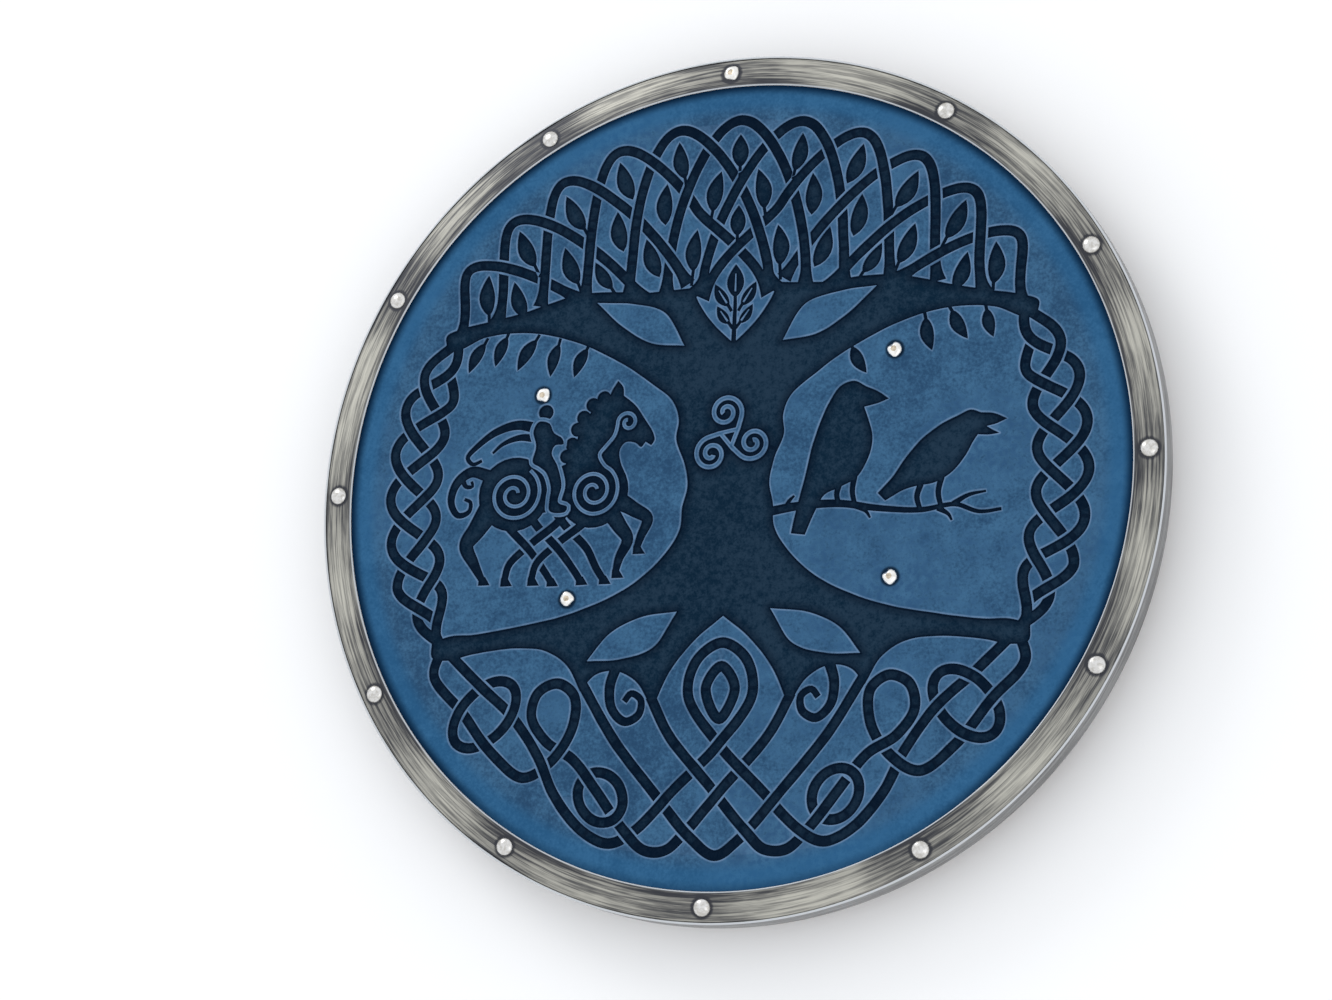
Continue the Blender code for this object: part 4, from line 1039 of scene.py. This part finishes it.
def times(tree, a, b):
    return mathNode(tree, "MULTIPLY", a, b)


def mixOf(tree, *terms):      # the sum of (value, weight) pairs
    total = 0.0
    for value, weight in terms:
        total = mathNode(tree, "MULTIPLY_ADD", value, weight, total)
    return total


def between(tree, value, low, high, outLow=0.0, outHigh=1.0):      # a smooth step from low to high
    ends = {"Value": value, "From Min": low, "From Max": high, "To Min": outLow, "To Max": outHigh}
    return addNode(tree, "ShaderNodeMapRange", ends, interpolation_type="SMOOTHSTEP").outputs[0]


def grain(tree, vector, scale, detail=3.0, roughness=0.5, distortion=0.0):
    values = {"Vector": vector, "Scale": scale, "Detail": detail, "Roughness": roughness,
              "Distortion": distortion}
    return addNode(tree, "ShaderNodeTexNoise", values).outputs[0]


def cells(tree, vector, scale):
    return addNode(tree, "ShaderNodeTexVoronoi", {"Vector": vector, "Scale": scale}).outputs["Distance"]


def blendColor(tree, share, a, b):
    return addNode(tree, "ShaderNodeMix", {0: share, 6: a, 7: b}, data_type="RGBA").outputs[2]


def asParts(tree, place):
    return addNode(tree, "ShaderNodeSeparateXYZ", {0: place}).outputs


def asPlace(tree, *parts):
    return addNode(tree, "ShaderNodeCombineXYZ", dict(enumerate(parts))).outputs[0]


def fromMiddle(tree, x, y):      # the distance from the shield's middle
    return mathNode(tree, "SQRT", mathNode(tree, "ADD", times(tree, x, x), times(tree, y, y)))


def nearest(tree, place, middles):      # the distance to the nearest of some rivets
    away = 1.0
    for middle in middles:
        gap = addNode(tree, "ShaderNodeVectorMath", {0: place, 1: middle}, operation="DISTANCE")
        away = mathNode(tree, "MINIMUM", away, gap.outputs["Value"])
    return away


blueLeather = {
    "land": ((0.020, 0.062, 0.130), (0.049, 0.136, 0.248)),      # darkest and lightest of the dyed blue
    "deep": (0.018, 0.060, 0.144),         # where the dye has pooled
    "band": (0.018, 0.114, 0.256),         # smooth and full, round the outside
    "bandRadii": (0.260, 0.272),           # where it begins and where it is full
    "shade": (0.0020, 0.0180, 0.0500),     # painted shadow cast by the rim, beside it
    "shadeRadii": (0.2750, 0.2826),
    "shadeHeights": (-0.26, -0.19),        # below these it is weaker
    "rivetShade": (0.0078, 0.0058),           # from a rivet's middle: a ring of painted shade round each rivet fades in between
    "sunk": ((0.0022, 0.0150, 0.034), (0.0140, 0.0340, 0.061)),
    "foot": (0.0001, 0.0040, 0.0140),      # painted shade where the wall meets the floor, also round each rivet
    "lipWearAndHighlight": (0.131, 0.221, 0.356),          # rubbed edges, lightened also as a painted highlight
    "roughness": (0.42, 0.60),
    "sheen": 0.025,
}


def makeBlueLeather():
    material, tree, shader, place = startMaterial("blueTooledLeather")
    past = addNode(tree, "ShaderNodeAttribute", {}, attribute_name="edgeGap").outputs["Fac"]
    x, y, z = asParts(tree, place)
    radius = fromMiddle(tree, x, y)
    clouds = grain(tree, place, 11.0, 4.0, 0.55)
    blotches = grain(tree, place, 60.0, 5.0, 0.62, 0.4)
    dapple = grain(tree, place, 230.0, 4.0, 0.7)
    pores = grain(tree, place, 700.0, 2.0, 0.6)
    pebbles = grain(tree, place, 460.0, 2.0, 0.7)
    mottle = mixOf(tree, (clouds, 0.34), (blotches, 0.27), (dapple, 0.19), (pebbles, 0.20))
    pooled = times(tree, between(tree, clouds, 0.50, 0.66), between(tree, dapple, 0.42, 0.60))
    # painted shadow of the rim on the leather beside it, weaker towards the bottom
    rimShadow = between(tree, radius, *blueLeather["shadeRadii"])
    rimShadow = times(tree, rimShadow, between(tree, y, *blueLeather["shadeHeights"], 0.4, 1.0))
    # the distance to the strap rivets, for the ring of painted shade round each
    rivetGap = nearest(tree, place, strapRivetPlaces())
    # rubbed edges of the raised leather, lightened also as a painted highlight along the tooled edges
    rubAndHighlight = times(tree, between(tree, past, -1.5, -0.4), between(tree, past, 0.16, -0.04))
    rubAndHighlight = times(tree, rubAndHighlight, between(tree, blotches, 0.35, 0.62, 0.45, 0.95))
    land = blendColor(tree, between(tree, mottle, 0.39, 0.61), *blueLeather["land"])
    for share, color in ((times(tree, pooled, 0.6), "deep"),
                         (between(tree, pores, 0.55, 0.75, 0.0, 0.4), "deep"),
                         (between(tree, radius, *blueLeather["bandRadii"], 0.0, 0.5), "band"),
                         (rimShadow, "shade"),
                         (between(tree, rivetGap, *blueLeather["rivetShade"], 0.0, 0.85), "foot"),
                         (rubAndHighlight, "lipWearAndHighlight")):
        land = blendColor(tree, share, land, blueLeather[color])
    ground = mixOf(tree, (dapple, 0.5), (pores, 0.25), (clouds, 0.25))
    floor = blendColor(tree, between(tree, ground, 0.40, 0.60), *blueLeather["sunk"])
    # painted shade: the sunk floor darkens towards the walls and most at their foot
    foot = mathNode(tree, "MAXIMUM", between(tree, past, 2.9, 0.7, 0.0, 0.92),
                    between(tree, past, 8.0, 1.5, 0.0, 0.5))
    floor = blendColor(tree, foot, floor, blueLeather["foot"])
    inside = between(tree, past, -0.02, 0.22)
    rough = between(tree, mixOf(tree, (blotches, 1.0), (inside, 0.2)), 0.35, 0.8, *blueLeather["roughness"])
    relief = mixOf(tree, (pores, 0.5), (cells(tree, place, 420.0), 0.35), (blotches, 1.2))
    shader.inputs["Specular IOR Level"].default_value = blueLeather["sheen"]
    finishMaterial(tree, shader, blendColor(tree, inside, land, floor), rough, relief, 0.00022, 0.55)
    return material


steel = {
    "dark": (0.050, 0.052, 0.060),           # stained, beside the rivets
    "light": (0.560, 0.545, 0.480),          # polished, between them
    "hoop": ((0.15, 0.15, 0.152), (0.37, 0.37, 0.37)),
    # painted highlight along the ring's inner edge and the hoop's upper lip
    "edge": (0.58, 0.60, 0.62),
    "darkRing": (0.0064, 0.0090),                # from a rivet's middle: darker in a ring round each rivet
    "roughness": (0.34, 0.52),
}


def makeBrushedSteel(name, stained):      # streaks run round the shield; the ring is stained by its rivets; each piece has a painted highlight along one edge
    material, tree, shader, place = startMaterial(name, 1.0)
    x, y, z = asParts(tree, place)
    radius = fromMiddle(tree, x, y)
    along = [times(tree, mathNode(tree, "DIVIDE", part, radius), 5.0) for part in (x, y)]
    along = asPlace(tree, *along, times(tree, mathNode(tree, "ADD", radius, z), 760.0))
    lines = between(tree, grain(tree, along, 1.0, 4.0, 0.62), 0.37, 0.63)
    fine = grain(tree, along, 3.1, 2.0, 0.6)
    if stained:
        away = nearest(tree, place, rimRivetPlaces())
        stray = mixOf(tree, (grain(tree, place, 26.0, 3.0), 0.08), (grain(tree, place, 8.0), 0.10),
                      (away, 1.0))
        patch = between(tree, stray, 0.095, 0.175)
        tone = mixOf(tree, (patch, 0.36), (lines, 0.40), (between(tree, fine, 0.36, 0.64), 0.16))
        inward = between(tree, radius, rimInner + 0.0005, rimInner + 0.0100, -0.27, 0.0)
        # darker towards the upper left of the ring
        upperLeftDarker = between(tree, mixOf(tree, (x, -0.66), (y, 0.75)), 0.262, 0.296, 0.0, -0.22)
        darkRing = between(tree, away, *steel["darkRing"], -0.45, 0.0)
        tone = mixOf(tree, (tone, 1.0), (inward, 1.0), (upperLeftDarker, 1.0), (darkRing, 1.0))
        metal = blendColor(tree, between(tree, tone, -0.06, 1.0), steel["dark"], steel["light"])
        # painted highlight along the ring's inner edge
        edgeHighlight = between(tree, radius, rimInner + 0.0014, rimInner + 0.0004)
    else:
        metal = blendColor(tree, lines, *steel["hoop"])
        # painted highlight along the hoop's upper lip
        edgeHighlight = between(tree, z, hoopHigh[2] - 0.0013, hoopHigh[2] - 0.0003)
    rough = between(tree, fine, 0.3, 0.7, *steel["roughness"])
    relief = mixOf(tree, (lines, 1.0), (fine, 0.5))
    finishMaterial(tree, shader, blendColor(tree, edgeHighlight, metal, steel["edge"]), rough, relief, 0.00003, 0.5)
    return material


rivetMetal = {
    "domed": ((0.74, 0.73, 0.71), (0.54, 0.52, 0.48)),
    "peened": ((0.96, 0.95, 0.92), (0.80, 0.78, 0.73)),
    "core": ((0.72, 0.62, 0.48), (0.36, 0.31, 0.24)),      # the end of the shank in a peened head
}


def makeRivetMetal(name):
    material, tree, shader, place = startMaterial(name + "Rivet", 1.0)
    marks = grain(tree, place, 900.0, 3.0, 0.6)
    smears = between(tree, grain(tree, place, 340.0, 3.0, 0.6), 0.38, 0.66)
    rough = between(tree, marks, 0.3, 0.7, 0.18, 0.36)
    finishMaterial(tree, shader, blendColor(tree, smears, *rivetMetal[name]), rough, marks, 0.00005, 0.4)
    return material


wood = {
    "dark": (0.265, 0.155, 0.078),
    "light": (0.50, 0.335, 0.185),
    "red": (0.30, 0.175, 0.085),      # some planks lean to it
}


def makeWood():
    material, tree, shader, place = startMaterial("oiledBoard")
    x, y, z = asParts(tree, place)
    across = mathNode(tree, "DIVIDE", x, board["plankWidth"])
    plank = mathNode(tree, "FLOOR", mathNode(tree, "ADD", across, 0.5))
    shifted = asPlace(tree, x, mixOf(tree, (y, 0.09), (plank, 1.37)), mixOf(tree, (z, 1.0), (plank, 0.71)))
    bands = times(tree, grain(tree, shifted, 38.0, 3.0, 0.55, 0.8), 9.0)
    fibre = grain(tree, shifted, 520.0, 3.0, 0.65)
    tone = mixOf(tree, (mathNode(tree, "PINGPONG", bands, 0.5), 1.1), (fibre, 0.45))
    timber = blendColor(tree, between(tree, tone, 0.15, 0.95), wood["dark"], wood["light"])
    own = addNode(tree, "ShaderNodeTexWhiteNoise", {"W": plank}, noise_dimensions="1D").outputs["Value"]
    timber = blendColor(tree, times(tree, own, 0.35), timber, wood["red"])
    finishMaterial(tree, shader, timber, between(tree, fibre, 0.3, 0.7, 0.5, 0.72), tone, 0.0002, 0.5)
    return material


strapLook = {
    "leather": ((0.085, 0.037, 0.017), (0.205, 0.098, 0.044)),      # dark and light
    "thread": ((0.50, 0.42, 0.29), (0.70, 0.62, 0.46)),
}


def makeBrownLeather():
    material, tree, shader, place = startMaterial("strapLeather")
    clouds = grain(tree, place, 45.0, 4.0, 0.6)
    hide = blendColor(tree, between(tree, clouds, 0.32, 0.68), *strapLook["leather"])
    rough = between(tree, clouds, 0.3, 0.7, 0.4, 0.6)
    relief = mixOf(tree, (grain(tree, place, 800.0, 2.0, 0.6), 1.0), (cells(tree, place, 620.0), 1.0))
    finishMaterial(tree, shader, hide, rough, relief, 0.00025, 0.5)
    return material


def makeThread():
    material, tree, shader, place = startMaterial("waxedThread")
    twist = grain(tree, place, 1500.0, 2.0, 0.6)
    rough = between(tree, twist, 0.3, 0.7, 0.55, 0.75)
    finishMaterial(tree, shader, blendColor(tree, twist, *strapLook["thread"]), rough, twist, 0.0002, 0.5)
    return material


# modelling by hand: everything is deselected first, and each piece ends in object mode
def deselectAll():
    if bpy.context.object and bpy.context.object.mode != "OBJECT":
        bpy.ops.object.mode_set(mode="OBJECT")
    bpy.ops.object.select_all(action="DESELECT")


def startPiece(name, primitive, **settings):      # its place goes into its mesh, and it is open for editing
    deselectAll()
    primitive(**settings)
    piece = bpy.context.object
    piece.name = piece.data.name = name
    bpy.ops.object.transform_apply(location=True, rotation=True, scale=True)
    bpy.ops.object.mode_set(mode="EDIT")
    bpy.ops.mesh.select_all(action="SELECT")
    return piece


def endPiece(piece, material, smooth):      # smooth is the sharpest turn that is shaded as a curve
    if piece.mode != "EDIT":
        bpy.ops.object.mode_set(mode="EDIT")
    bpy.ops.mesh.select_all(action="SELECT")
    bpy.ops.mesh.remove_doubles(threshold=0.00002)
    bpy.ops.mesh.normals_make_consistent(inside=False)
    bpy.ops.object.mode_set(mode="OBJECT")
    if not piece.data.materials:
        piece.data.materials.append(material)
    bpy.ops.object.shade_smooth_by_angle(angle=math.radians(smooth))


def finishPiece(piece, slot, *nodes):
    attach(piece, "root")
    if nodes:
        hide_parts(*nodes)


def discard(*pieces):
    for piece in pieces:
        bpy.data.objects.remove(piece, do_unlink=True)


def copyPiece(piece, name):
    twin = piece.copy()
    twin.data = piece.data.copy()
    twin.name = twin.data.name = name
    bpy.context.scene.collection.objects.link(twin)
    return twin


def placePiece(piece, location, rotation):
    deselectAll()
    piece.select_set(True)
    bpy.context.view_layer.objects.active = piece
    piece.location = location
    piece.rotation_euler = rotation
    bpy.ops.object.transform_apply(location=True, rotation=True, scale=True)


def applyModifier(piece, kind, **settings):
    modifier = piece.modifiers.new(kind.title(), kind)
    for key, value in settings.items():
        setattr(modifier, key, value)
    bpy.ops.object.modifier_apply(modifier=modifier.name)


def selectWhere(piece, kind, test):      # verts, edges or faces whose middle and normal pass the test
    bpy.ops.mesh.select_all(action="DESELECT")
    bpy.ops.mesh.select_mode(type={"verts": "VERT", "edges": "EDGE", "faces": "FACE"}[kind])
    mesh = bmesh.from_edit_mesh(piece.data)
    for item in getattr(mesh, kind):
        corners = [item] if kind == "verts" else item.verts
        middle = sum((vert.co for vert in corners), Vector()) / len(corners)
        item.select = test(middle, getattr(item, "normal", None))
    mesh.select_flush_mode()
    bmesh.update_edit_mesh(piece.data)


def pullFaces(height):
    bpy.ops.mesh.extrude_region_move(TRANSFORM_OT_translate={"value": (0, 0, height)})


def turnedRing(name, profile, count, material):
    # a circle extruded and scaled from corner to corner of a closed (radius, height) outline
    radius, height = profile[0]
    piece = startPiece(name, bpy.ops.mesh.primitive_circle_add, vertices=count, radius=radius,
                       location=(0, 0, height))
    for (fromRadius, fromHeight), (toRadius, toHeight) in pairsOf(profile):
        bpy.ops.mesh.extrude_edges_move(TRANSFORM_OT_translate={"value": (0, 0, toHeight - fromHeight)})
        bpy.ops.transform.resize(value=(toRadius / fromRadius, toRadius / fromRadius, 1))
    endPiece(piece, material, 30)
    return piece


# the steel round the edge
edging = {
    "sides": 288,
    "thickness": 0.0012,
    "softness": 0.0004,       # rounding of the corners
    "hoopThickness": 0.0015,
    "hoopBack": 0.0180,       # width turned in over the back
}


def slopedHeight(radius):      # the ring's underside
    return rimTop - edging["thickness"] - edgeDrop * (radius - rimInner) / (rimOuter - rimInner)


def makeRim(material):
    soft, inner, outer = edging["softness"], rimInner, rimOuter + fit

    def over(radius, rise=0.0):      # a corner on or above the ring's upper side
        return (radius, slopedHeight(radius) + edging["thickness"] + rise)
    top = slopedHeight(inner) + edging["thickness"]
    profile = [(inner, slopedHeight(inner)), (outer, slopedHeight(outer)), over(outer, -soft),
               (outer - soft, over(outer)[1]), over(outer - 0.0016), over(inner + 0.0100, 0.00025),
               over(inner + 0.0020, 0.0001), (inner + 0.0009, top), (inner + 0.0003, top - 0.0002),
               (inner, top - 0.0006)]
    finishPiece(turnedRing("rimRing", profile, edging["sides"], material), "rim", "rim_ring")


def makeHoop(material):
    soft, thick = edging["softness"], edging["hoopThickness"]
    outer, top, low = shieldRadius, hoopHigh[2], hoopLow[2]
    back, inner = outer - edging["hoopBack"], outer - thick
    profile = [(back + soft, low), (outer - 0.0012, low), (outer - 0.0004, low + 0.0004),
               (outer, low + 0.0012), (outer, top - 0.0006), (outer - 0.0003, top - 0.0001),
               (outer - 0.0007, top), (inner + 0.0003, top - 0.0001), (inner, top - soft),
               (inner, low + thick), (back + soft, low + thick), (back, low + thick - soft),
               (back, low + soft)]
    finishPiece(turnedRing("edgeHoop", profile, edging["sides"], material), "rim", "edge_hoop")


# rivets and washers
rivets = {
    "rimRadius": 0.0062,
    "rimHeight": 0.0030,
    "rimCount": 12,
    "headRadius": 0.0052,
    "headHeight": 0.0026,
    "shankRadius": 0.0025,
    "tailRadius": 0.0037,
    "tailHeight": 0.0014,
    "washerRadius": 0.0070,
    "boreRadius": 0.0029,
}
strapEnds = [(side, end) for side in ("left", "right") for end in ("upper", "lower")]


def middleOf(node):
    low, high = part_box(node)
    return (Vector(low) + Vector(high)) / 2


def rimRivetPlaces():
    return [middleOf(f"rim_rivet_{number:02d}") for number in range(1, rivets["rimCount"] + 1)]


def strapRivetPlaces():      # where they meet the face
    return [Vector((*middleOf(f"strap_rivet_{side}_{end}").xy, faceHigh[2])) for side, end in strapEnds]


def drill(piece, places):      # a hole right through it for each rivet's shank
    for place in places:
        deselectAll()
        bpy.ops.mesh.primitive_cylinder_add(vertices=24, radius=rivets["boreRadius"], depth=0.2,
                                            location=(place.x, place.y, boardLow[2]))
        cutter = bpy.context.object
        bpy.context.view_layer.objects.active = piece
        applyModifier(piece, "BOOLEAN", operation="DIFFERENCE", solver="EXACT", object=cutter)
        discard(cutter)


def addDome(name, radius, height):      # the cap of a ball, flattened, standing on the ground plane
    cut, flat = 0.16, height * 0.93
    piece = startPiece(name, bpy.ops.mesh.primitive_uv_sphere_add, segments=32, ring_count=20, radius=radius)
    bpy.ops.mesh.bisect(plane_co=(0, 0, radius * cut), plane_no=(0, 0, 1), use_fill=True, clear_inner=True)
    bpy.ops.mesh.select_all(action="SELECT")
    bpy.ops.transform.translate(value=(0, 0, -radius * cut))
    bpy.ops.transform.resize(value=(1.013, 1.013, height / (radius * (1 - cut))), center_override=(0, 0, 0))
    selectWhere(piece, "faces", lambda middle, normal: middle.z > flat)      # hammered flat
    bpy.ops.transform.resize(value=(1.25, 1.25, 0.45), center_override=(0, 0, flat))
    return piece


def peenHead(piece, radius, height, metal, core):      # hammered out of round round the shank's end
    for degrees, push in ((8, 0.0008), (221, -0.0009), (265, 0.0005), (120, -0.0002)):
        aim = Vector((*around(0, 0, 1, math.radians(degrees)), 0))
        selectWhere(piece, "verts", lambda place, normal: (place - aim * radius).xy.length < radius * 0.2
                    and place.z >= -1e-5)
        bpy.ops.transform.translate(value=aim * push, use_proportional_edit=True,
                                    proportional_edit_falloff="SMOOTH", proportional_size=radius * 0.6)
    selectWhere(piece, "faces", lambda middle, normal: middle.xy.length < radius * 0.34 and normal.z > 0.3)
    bpy.ops.transform.translate(value=(0, -radius * 0.05, -height * 0.12))
    piece.data.materials.append(metal)
    piece.data.materials.append(core)
    piece.active_material_index = 1
    bpy.ops.object.material_slot_assign()


def makeRimRivets(material, metal, core):      # the first is peened like the strap rivets
    radius, height = rivets["rimRadius"], rivets["rimHeight"]
    domed = addDome("rimRivet", radius, height)
    endPiece(domed, material, 50)
    peened = addDome("peenedRivet", radius * 0.9, height)
    peenHead(peened, radius * 0.9, height, metal, core)
    endPiece(peened, metal, 50)
    slope = math.atan2(edgeDrop, rimOuter - rimInner)
    for number, place in enumerate(rimRivetPlaces(), 1):
        turn = math.atan2(place.y, place.x)
        piece = copyPiece(peened if number == 1 else domed, f"rimRivet{number:02d}")
        spin = Matrix.Rotation(turn, 4, "Z") @ Matrix.Rotation(slope, 4, "Y")
        spin @= Matrix.Rotation(number * 0.7 - turn, 4, "Z")
        place.z = slopedHeight(place.xy.length) + edging["thickness"] + fit
        placePiece(piece, place, spin.to_euler())
        finishPiece(piece, "rivet", f"rim_rivet_{number:02d}")
    discard(domed, peened)


def makeStrapRivets(material, core, washerMaterial):
    shank, headHeight, tailHeight = rivets["shankRadius"], rivets["headHeight"], rivets["tailHeight"]
    rivetLow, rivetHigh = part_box("strap_rivet_left_upper")
    headBottom = rivetHigh[2] - headHeight
    pattern = addDome("strapRivet", rivets["headRadius"], headHeight)
    peenHead(pattern, rivets["headRadius"], headHeight, material, core)
    selectWhere(pattern, "faces", lambda middle, normal: normal.z < -0.9)
    bpy.ops.mesh.inset(thickness=rivets["headRadius"] - shank)
    pullFaces(rivetLow[2] + tailHeight - headBottom)
    for scale, step in ((rivets["tailRadius"] / shank, 0), (0.96, 0.35), (0.80, 0.40), (0.45, 0.25)):
        pullFaces(-tailHeight * step)      # the peened end
        bpy.ops.transform.resize(value=(scale, scale, 1))
    endPiece(pattern, material, 40)
    hole, wide = rivets["boreRadius"], rivets["washerRadius"]
    low, high = [corner[2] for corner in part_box("strap_washer_left_upper")]
    profile = [(hole, low + 0.0002), (hole + 0.0002, low), (wide - 0.0003, low), (wide, low + 0.0003),
               (wide, high), (hole, high)]
    washerPattern = turnedRing("strapWasher", profile, 40, washerMaterial)
    for side, end in strapEnds:
        x, y, z = middleOf(f"strap_rivet_{side}_{end}")
        rivet = copyPiece(pattern, f"strapRivet{side.title()}{end.title()}")
        placePiece(rivet, (x, y, headBottom), (0, 0, x * 40))
        finishPiece(rivet, "rivet", f"strap_rivet_{side}_{end}")
        washer = copyPiece(washerPattern, f"strapWasher{side.title()}{end.title()}")
        placePiece(washer, (x, y, 0), (0, 0, y * 50))
        finishPiece(washer, "washer", f"strap_washer_{side}_{end}")
    discard(pattern, washerPattern)


# the wooden board
board = {
    "plankWidth": 0.096,
    "seams": (-2.5, -1.5, -0.5, 0.5, 1.5, 2.5),      # in plank widths
    "grooveWidth": 0.0011,
    "grooveDepth": 0.0009,
    "sides": 192,
}


def makeBoard(material):
    low, high, radius = boardLow[2], boardHigh[2], boardHigh[0]
    piece = startPiece("plankBoard", bpy.ops.mesh.primitive_circle_add, vertices=board["sides"],
                       radius=radius, fill_type="NGON", location=(0, 0, low))
    half = board["grooveWidth"] / 2
    seams = [seam * board["plankWidth"] for seam in board["seams"]]
    for x in [seam + side for seam in seams for side in (-half, half)]:
        bpy.ops.mesh.select_all(action="SELECT")
        bpy.ops.mesh.bisect(plane_co=(x, 0, low), plane_no=(1, 0, 0))
    bpy.ops.mesh.select_all(action="SELECT")
    pullFaces(high - edgeDrop - low)
    bpy.ops.mesh.inset(thickness=radius - rimInner)
    bpy.ops.transform.translate(value=(0, 0, edgeDrop))
    selectWhere(piece, "faces", lambda middle, normal: abs(middle.z - low) < 1e-5
                and min(abs(middle.x - seam) for seam in seams) < half * 0.9)
    pullFaces(board["grooveDepth"])
    endPiece(piece, material, 25)
    drill(piece, strapRivetPlaces())
    endPiece(piece, material, 25)
    finishPiece(piece, "board", "board")


# the two straps
strap = {
    "nodes": {"left": "arm_strap", "right": "grip_strap"},
    "width": 0.0360,
    "thickness": 0.0036,
    "tab": 0.0170,            # how far a strap runs on past its rivet
    "tabRound": 0.0120,
    "bend": 0.0140,           # from a rivet to where its strap leaves the board
    "ramp": 0.0520,           # from a rivet to where its strap runs level
    "stitchInset": 0.0042,
    "stitchLength": 0.0042,
    "stitchGap": 0.0016,
    "stitchStart": 0.0040,    # from the end of a seam's line to its first stitch
    "threadRadius": 0.00048,
}


def strapDrop(along, span):      # how far the strap hangs below the board
    fromEnd = min(along, span - along)
    share = min(1.0, max(0.0, (fromEnd - strap["bend"]) / (strap["ramp"] - strap["bend"])))
    return (boardLow[2] - fit - strap["thickness"]) * share * share * (3 - 2 * share)


def makeStrap(name, side, leather, thread):
    first, second = [middleOf(f"strap_rivet_{side}_{end}") * Vector((1, 1, 0)) for end in ("upper", "lower")]
    span = (second - first).length
    turn = math.atan2(second.y - first.y, second.x - first.x)
    tab, top, sliver = strap["tab"], boardLow[2] - fit, 0.0002
    steps = [strap["bend"] + (strap["ramp"] - strap["bend"]) * k / 12 for k in range(13)]
    stops = [-tab + strap["tabRound"]] + steps + [span - along for along in steps[::-1]]
    stops += [span + tab - strap["tabRound"], span + tab]
    piece = startPiece(name, bpy.ops.mesh.primitive_plane_add, size=1, location=(0, 0, top))
    bpy.ops.transform.resize(value=(sliver, strap["width"], 1))
    bpy.ops.transform.translate(value=(-tab + sliver / 2, 0, 0))
    selectWhere(piece, "edges", lambda middle, normal: middle.x > -tab + sliver * 0.75)
    bpy.ops.transform.translate(value=(stops[0] + tab - sliver, 0, 0))
    for at, stop in zip(stops, stops[1:]):
        rise = strapDrop(at, span) - strapDrop(stop, span)
        bpy.ops.mesh.extrude_edges_move(TRANSFORM_OT_translate={"value": (stop - at, 0, rise)})
    selectWhere(piece, "verts", lambda place, normal: abs(place.x - span / 2) > span / 2 + tab - sliver / 2)
    bpy.ops.mesh.bevel(offset=strap["tabRound"] * 0.98, segments=10, affect="VERTICES")
    endPiece(piece, leather, 40)
    applyModifier(piece, "SOLIDIFY", thickness=strap["thickness"], offset=-1.0)
    applyModifier(piece, "BEVEL", width=0.0009, segments=3, limit_method="ANGLE",
                  angle_limit=math.radians(50))
    placePiece(piece, first, (0, 0, turn))
    drill(piece, (first, second))
    endPiece(piece, leather, 40)
    finishPiece(piece, "strap", strap["nodes"][side])
    makeStitches(name, first, span, turn, thread)


def makeStitches(name, first, span, turn, thread):      # two seams along a strap
    pattern = startPiece(name + "Stitch", bpy.ops.mesh.primitive_uv_sphere_add, segments=8, ring_count=6,
                         radius=strap["threadRadius"])
    bpy.ops.transform.resize(value=(strap["stitchLength"] / 2 / strap["threadRadius"], 1, 1))
    endPiece(pattern, thread, 60)
    pitch = strap["stitchLength"] + strap["stitchGap"]
    run = strap["tab"] - strap["stitchInset"]
    stitches = []
    for k in range(int((span + 2 * run - 2 * strap["stitchStart"]) / pitch)):
        along = -run + strap["stitchStart"] + (k + 0.5) * pitch
        slope = (strapDrop(along + 0.001, span) - strapDrop(along - 0.001, span)) / 0.002
        under = strapDrop(along, span) + strap["thickness"] * math.hypot(1, slope)
        height = boardLow[2] - fit - under + strap["threadRadius"] * 0.9
        for edge in (-1, 1):
            stitch = copyPiece(pattern, f"{name}Stitch{len(stitches)}")
            across = edge * (strap["width"] / 2 - strap["stitchInset"])
            placePiece(stitch, (along, across, height), (0, math.atan(slope), 0))
            stitches.append(stitch)
    discard(pattern)
    deselectAll()
    for stitch in stitches:
        stitch.select_set(True)
    bpy.context.view_layer.objects.active = stitches[0]
    bpy.ops.object.join()
    seam = bpy.context.object
    seam.name = seam.data.name = name + "Seams"
    placePiece(seam, first, (0, 0, turn))
    finishPiece(seam, "strap")


def makeGround():
    deselectAll()
    bpy.ops.mesh.primitive_plane_add(size=view["floorSize"], location=(0, 0, cadBox[0][2] - 0.0001))
    ground = bpy.context.object
    ground.name = "floor"
    material, tree, shader, place = startMaterial("paleFloor")
    shader.inputs["Base Color"].default_value = (*view["floorColor"], 1)
    shader.inputs["Roughness"].default_value = 0.9
    ground.data.materials.append(material)


# everything together
dyedLeather, strapHide, waxedThread = makeBlueLeather(), makeBrownLeather(), makeThread()
stainedSteel, brushedSteel = makeBrushedSteel("stainedSteel", True), makeBrushedSteel("brushedSteel", False)
domedMetal, peenedMetal, coreMetal = [makeRivetMetal(name) for name in rivetMetal]
oiledWood = makeWood()
print("materials made")

makeFace(dyedLeather)
makeRim(stainedSteel)
makeHoop(brushedSteel)
makeRimRivets(domedMetal, peenedMetal, coreMetal)
makeStrapRivets(peenedMetal, coreMetal, brushedSteel)
makeBoard(oiledWood)
makeStrap("armStrap", "left", strapHide, waxedThread)
makeStrap("gripStrap", "right", strapHide, waxedThread)
print("pieces made")

makeGround()
addLight("key", *view["key"])
addLight("fill", *view["fill"])
addSky()
print("stage set")
